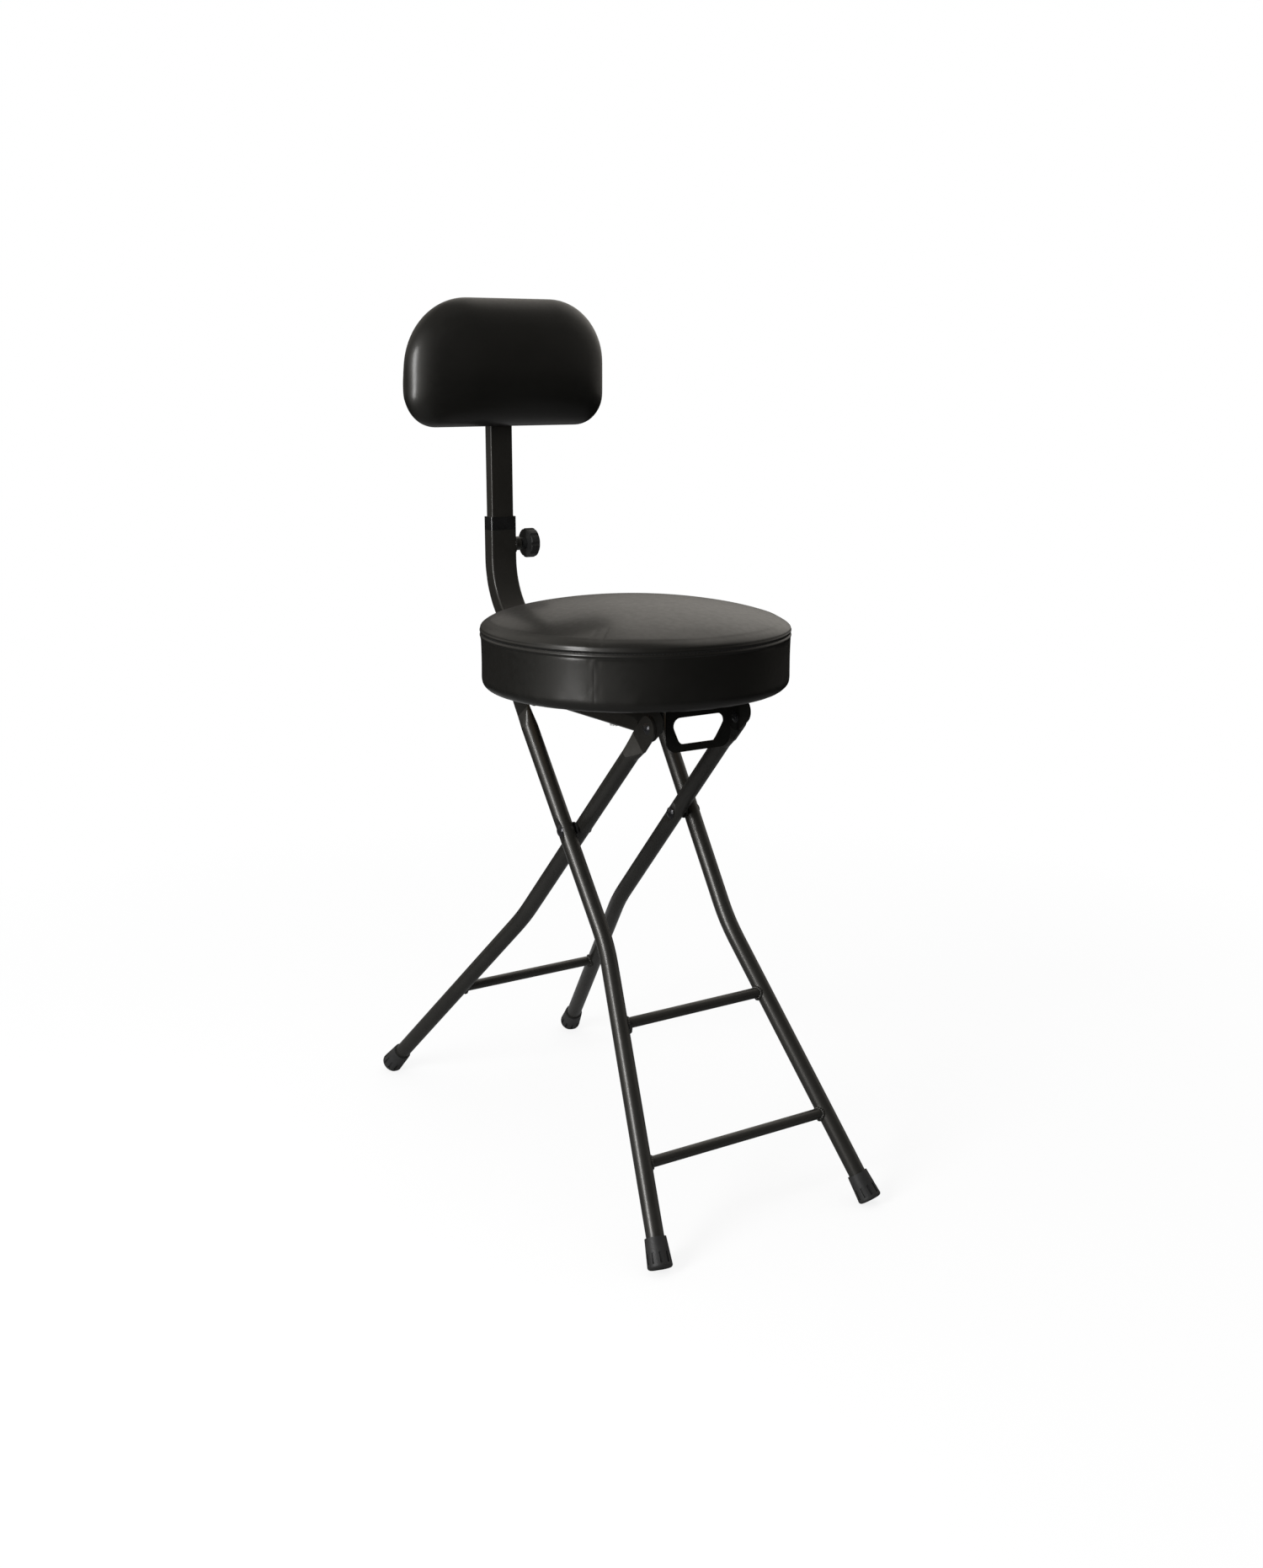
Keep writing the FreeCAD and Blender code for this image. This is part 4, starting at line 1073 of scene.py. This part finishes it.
@dataclass(frozen=True)
class Glow:
    """Bright part of the walls that shows in reflections: full within an angle and gone beyond another."""

    toward: Colour
    strength: float
    full: float
    gone: float


@dataclass(frozen=True)
class Studio:
    """White studio: floor, surroundings, soft boxes and the camera."""

    camera_place: Colour = (-1.0393, -1.6453, 0.8957)
    heading: float = -33.07
    pitch: float = -13.46
    lens: float = 39.96
    sensor: float = 36.0
    floor_half: float = 8.0
    floor_drop: float = 0.2 * MM
    shadow_share: float = 0.16
    shadow_reach: Span = (0.55, 1.5)
    ambient: float = 0.45
    dim: float = 0.07
    pool: Colour = (0.35, 0.95, 0.0)
    pool_reach: Span = (0.3, 0.9)
    # strength of the painted pool of light that the floor gives off for reflected rays
    pool_glow: float = 0.3
    # strength of the painted bounce light that the floor gives off near the stool for scattered rays
    floor_bounce: float = 0.8
    wall_colour: Colour = (1.0, 0.95, 0.88)
    glows: tuple[Glow, ...] = (
        Glow((0.66, 0.46, 0.59), 0.95, 14.0, 48.0),
        Glow((-1.0, -0.12, 0.05), 0.10, 10.0, 50.0),
        Glow((0.0, 0.0, 1.0), 0.17, 12.0, 45.0),
        Glow((-0.42, 0.68, 0.60), 0.60, 14.0, 48.0),
        Glow((0.95, -0.10, 0.28), 0.35, 12.0, 45.0),
    )
    lamps: tuple[Lamp, ...] = (
        Lamp("left_soft_box", (-2.1, -0.58, 1.12), (0.45, 1.5), 44.0),
        Lamp("overhead_soft_box", (0.3, 0.3, 2.9), (3.4, 3.4), 32.0, mirrored=False),
    )

    def build(self) -> None:
        """Set the whole studio up."""
        bpy.context.scene.view_settings.view_transform = "Standard"
        self.lay_floor()
        self.surround()
        for lamp in self.lamps:
            lamp.build()
        self.stand_camera()

    def stand_camera(self) -> None:
        """Place the camera where the photograph was taken from."""
        data = bpy.data.cameras.new("camera")
        data.lens = self.lens
        data.sensor_width = self.sensor
        camera = add_object("camera", data)
        camera.location = self.camera_place
        camera.rotation_euler = Euler((math.radians(90.0 + self.pitch), 0.0, math.radians(self.heading)))
        bpy.context.scene.camera = camera

    def lay_floor(self) -> None:
        """Lay a white floor that keeps a soft shadow near the stool and fades into the background.

        It is white for the eye and through glass. In reflections it glows with a painted pool of light behind
        the stool, and near the stool it glows with painted bounce light for scattered rays.
        """
        half = self.floor_half
        corners = np.array([[-half, -half, 0], [half, -half, 0], [half, half, 0], [-half, half, 0]], float)
        mesh = bpy.data.meshes.new("floor")
        mesh.from_pydata((corners - [0, 0, self.floor_drop]).tolist(), [], [(0, 1, 2, 3)])
        floor = add_object("floor", mesh)
        graph = Surface("white_floor")
        spot = graph.place.outputs["Object"]
        reach = graph.measure("DISTANCE", spot, BLACK)
        near = graph.spread(reach, self.shadow_share, 0.0, self.shadow_reach)
        # painted bounce light: near the stool the floor glows for scattered rays
        bounce = graph.spread(reach, self.floor_bounce, 0.0, self.shadow_reach)
        # painted pool of light: behind the stool the floor glows for reflected rays only
        pool = graph.measure("DISTANCE", spot, self.pool)
        gloss = graph.spread(pool, self.pool_glow, 0.0, self.pool_reach)
        eye, glossy, diffuse = graph.rays()
        plain = graph.maths("MULTIPLY", eye, graph.maths("SUBTRACT", 1.0, near))
        mirrored = graph.maths("MULTIPLY", glossy, gloss)
        scattered = graph.maths("MULTIPLY", diffuse, bounce)
        light = graph.maths("ADD", plain, graph.maths("ADD", mirrored, scattered))
        graph.feed("Base Color", graph.blend(near, BLACK, WHITE))
        graph.feed("Roughness", 1.0)
        graph.feed("Specular IOR Level", 0.0)
        graph.feed("Emission Color", (*WHITE, 1.0))
        graph.feed("Emission Strength", light)
        mesh.materials.append(graph.material)

    def surround(self) -> None:
        """White background for the eye, bright walls in reflections and an even light for shading."""
        world = bpy.data.worlds.new("studio")
        bpy.context.scene.world = world
        world.use_nodes = True
        graph = NodeGraph(world.node_tree)
        eye, glossy, _ = graph.rays()
        walls: Socket | float = self.dim
        for glow in self.glows:
            aim = tuple(Vector(glow.toward).normalized())
            nearness = graph.measure("DOT_PRODUCT", graph.place.outputs["Generated"], aim)
            edges = (math.cos(math.radians(glow.gone)), math.cos(math.radians(glow.full)))
            light = graph.spread(nearness, 0.0, glow.strength, edges, smooth=True)
            walls = graph.maths("MAXIMUM", walls, light)
        back = graph.add("ShaderNodeBackground")
        graph.join(graph.blend(glossy, WHITE, self.wall_colour), back.inputs["Color"])
        graph.join(graph.mix(eye, graph.mix(glossy, self.ambient, walls), 1.0), back.inputs["Strength"])
        output = graph.add("ShaderNodeOutputWorld")
        graph.join(back.outputs["Background"], output.inputs["Surface"])


def main() -> None:
    """Build the studio and dress every sub-assembly, in order."""
    logging.basicConfig(level=logging.INFO, format="%(name)s: %(message)s")
    Studio().build()
    Hardware().dress()
    Welds().build()
    seat = SeatCushion()
    seat.build()
    seat.sew()
    seat.staple_hem()
    pad = BackrestPad()
    pad.build()
    pad.staple_hem()


if __name__ == "__main__":
    main()
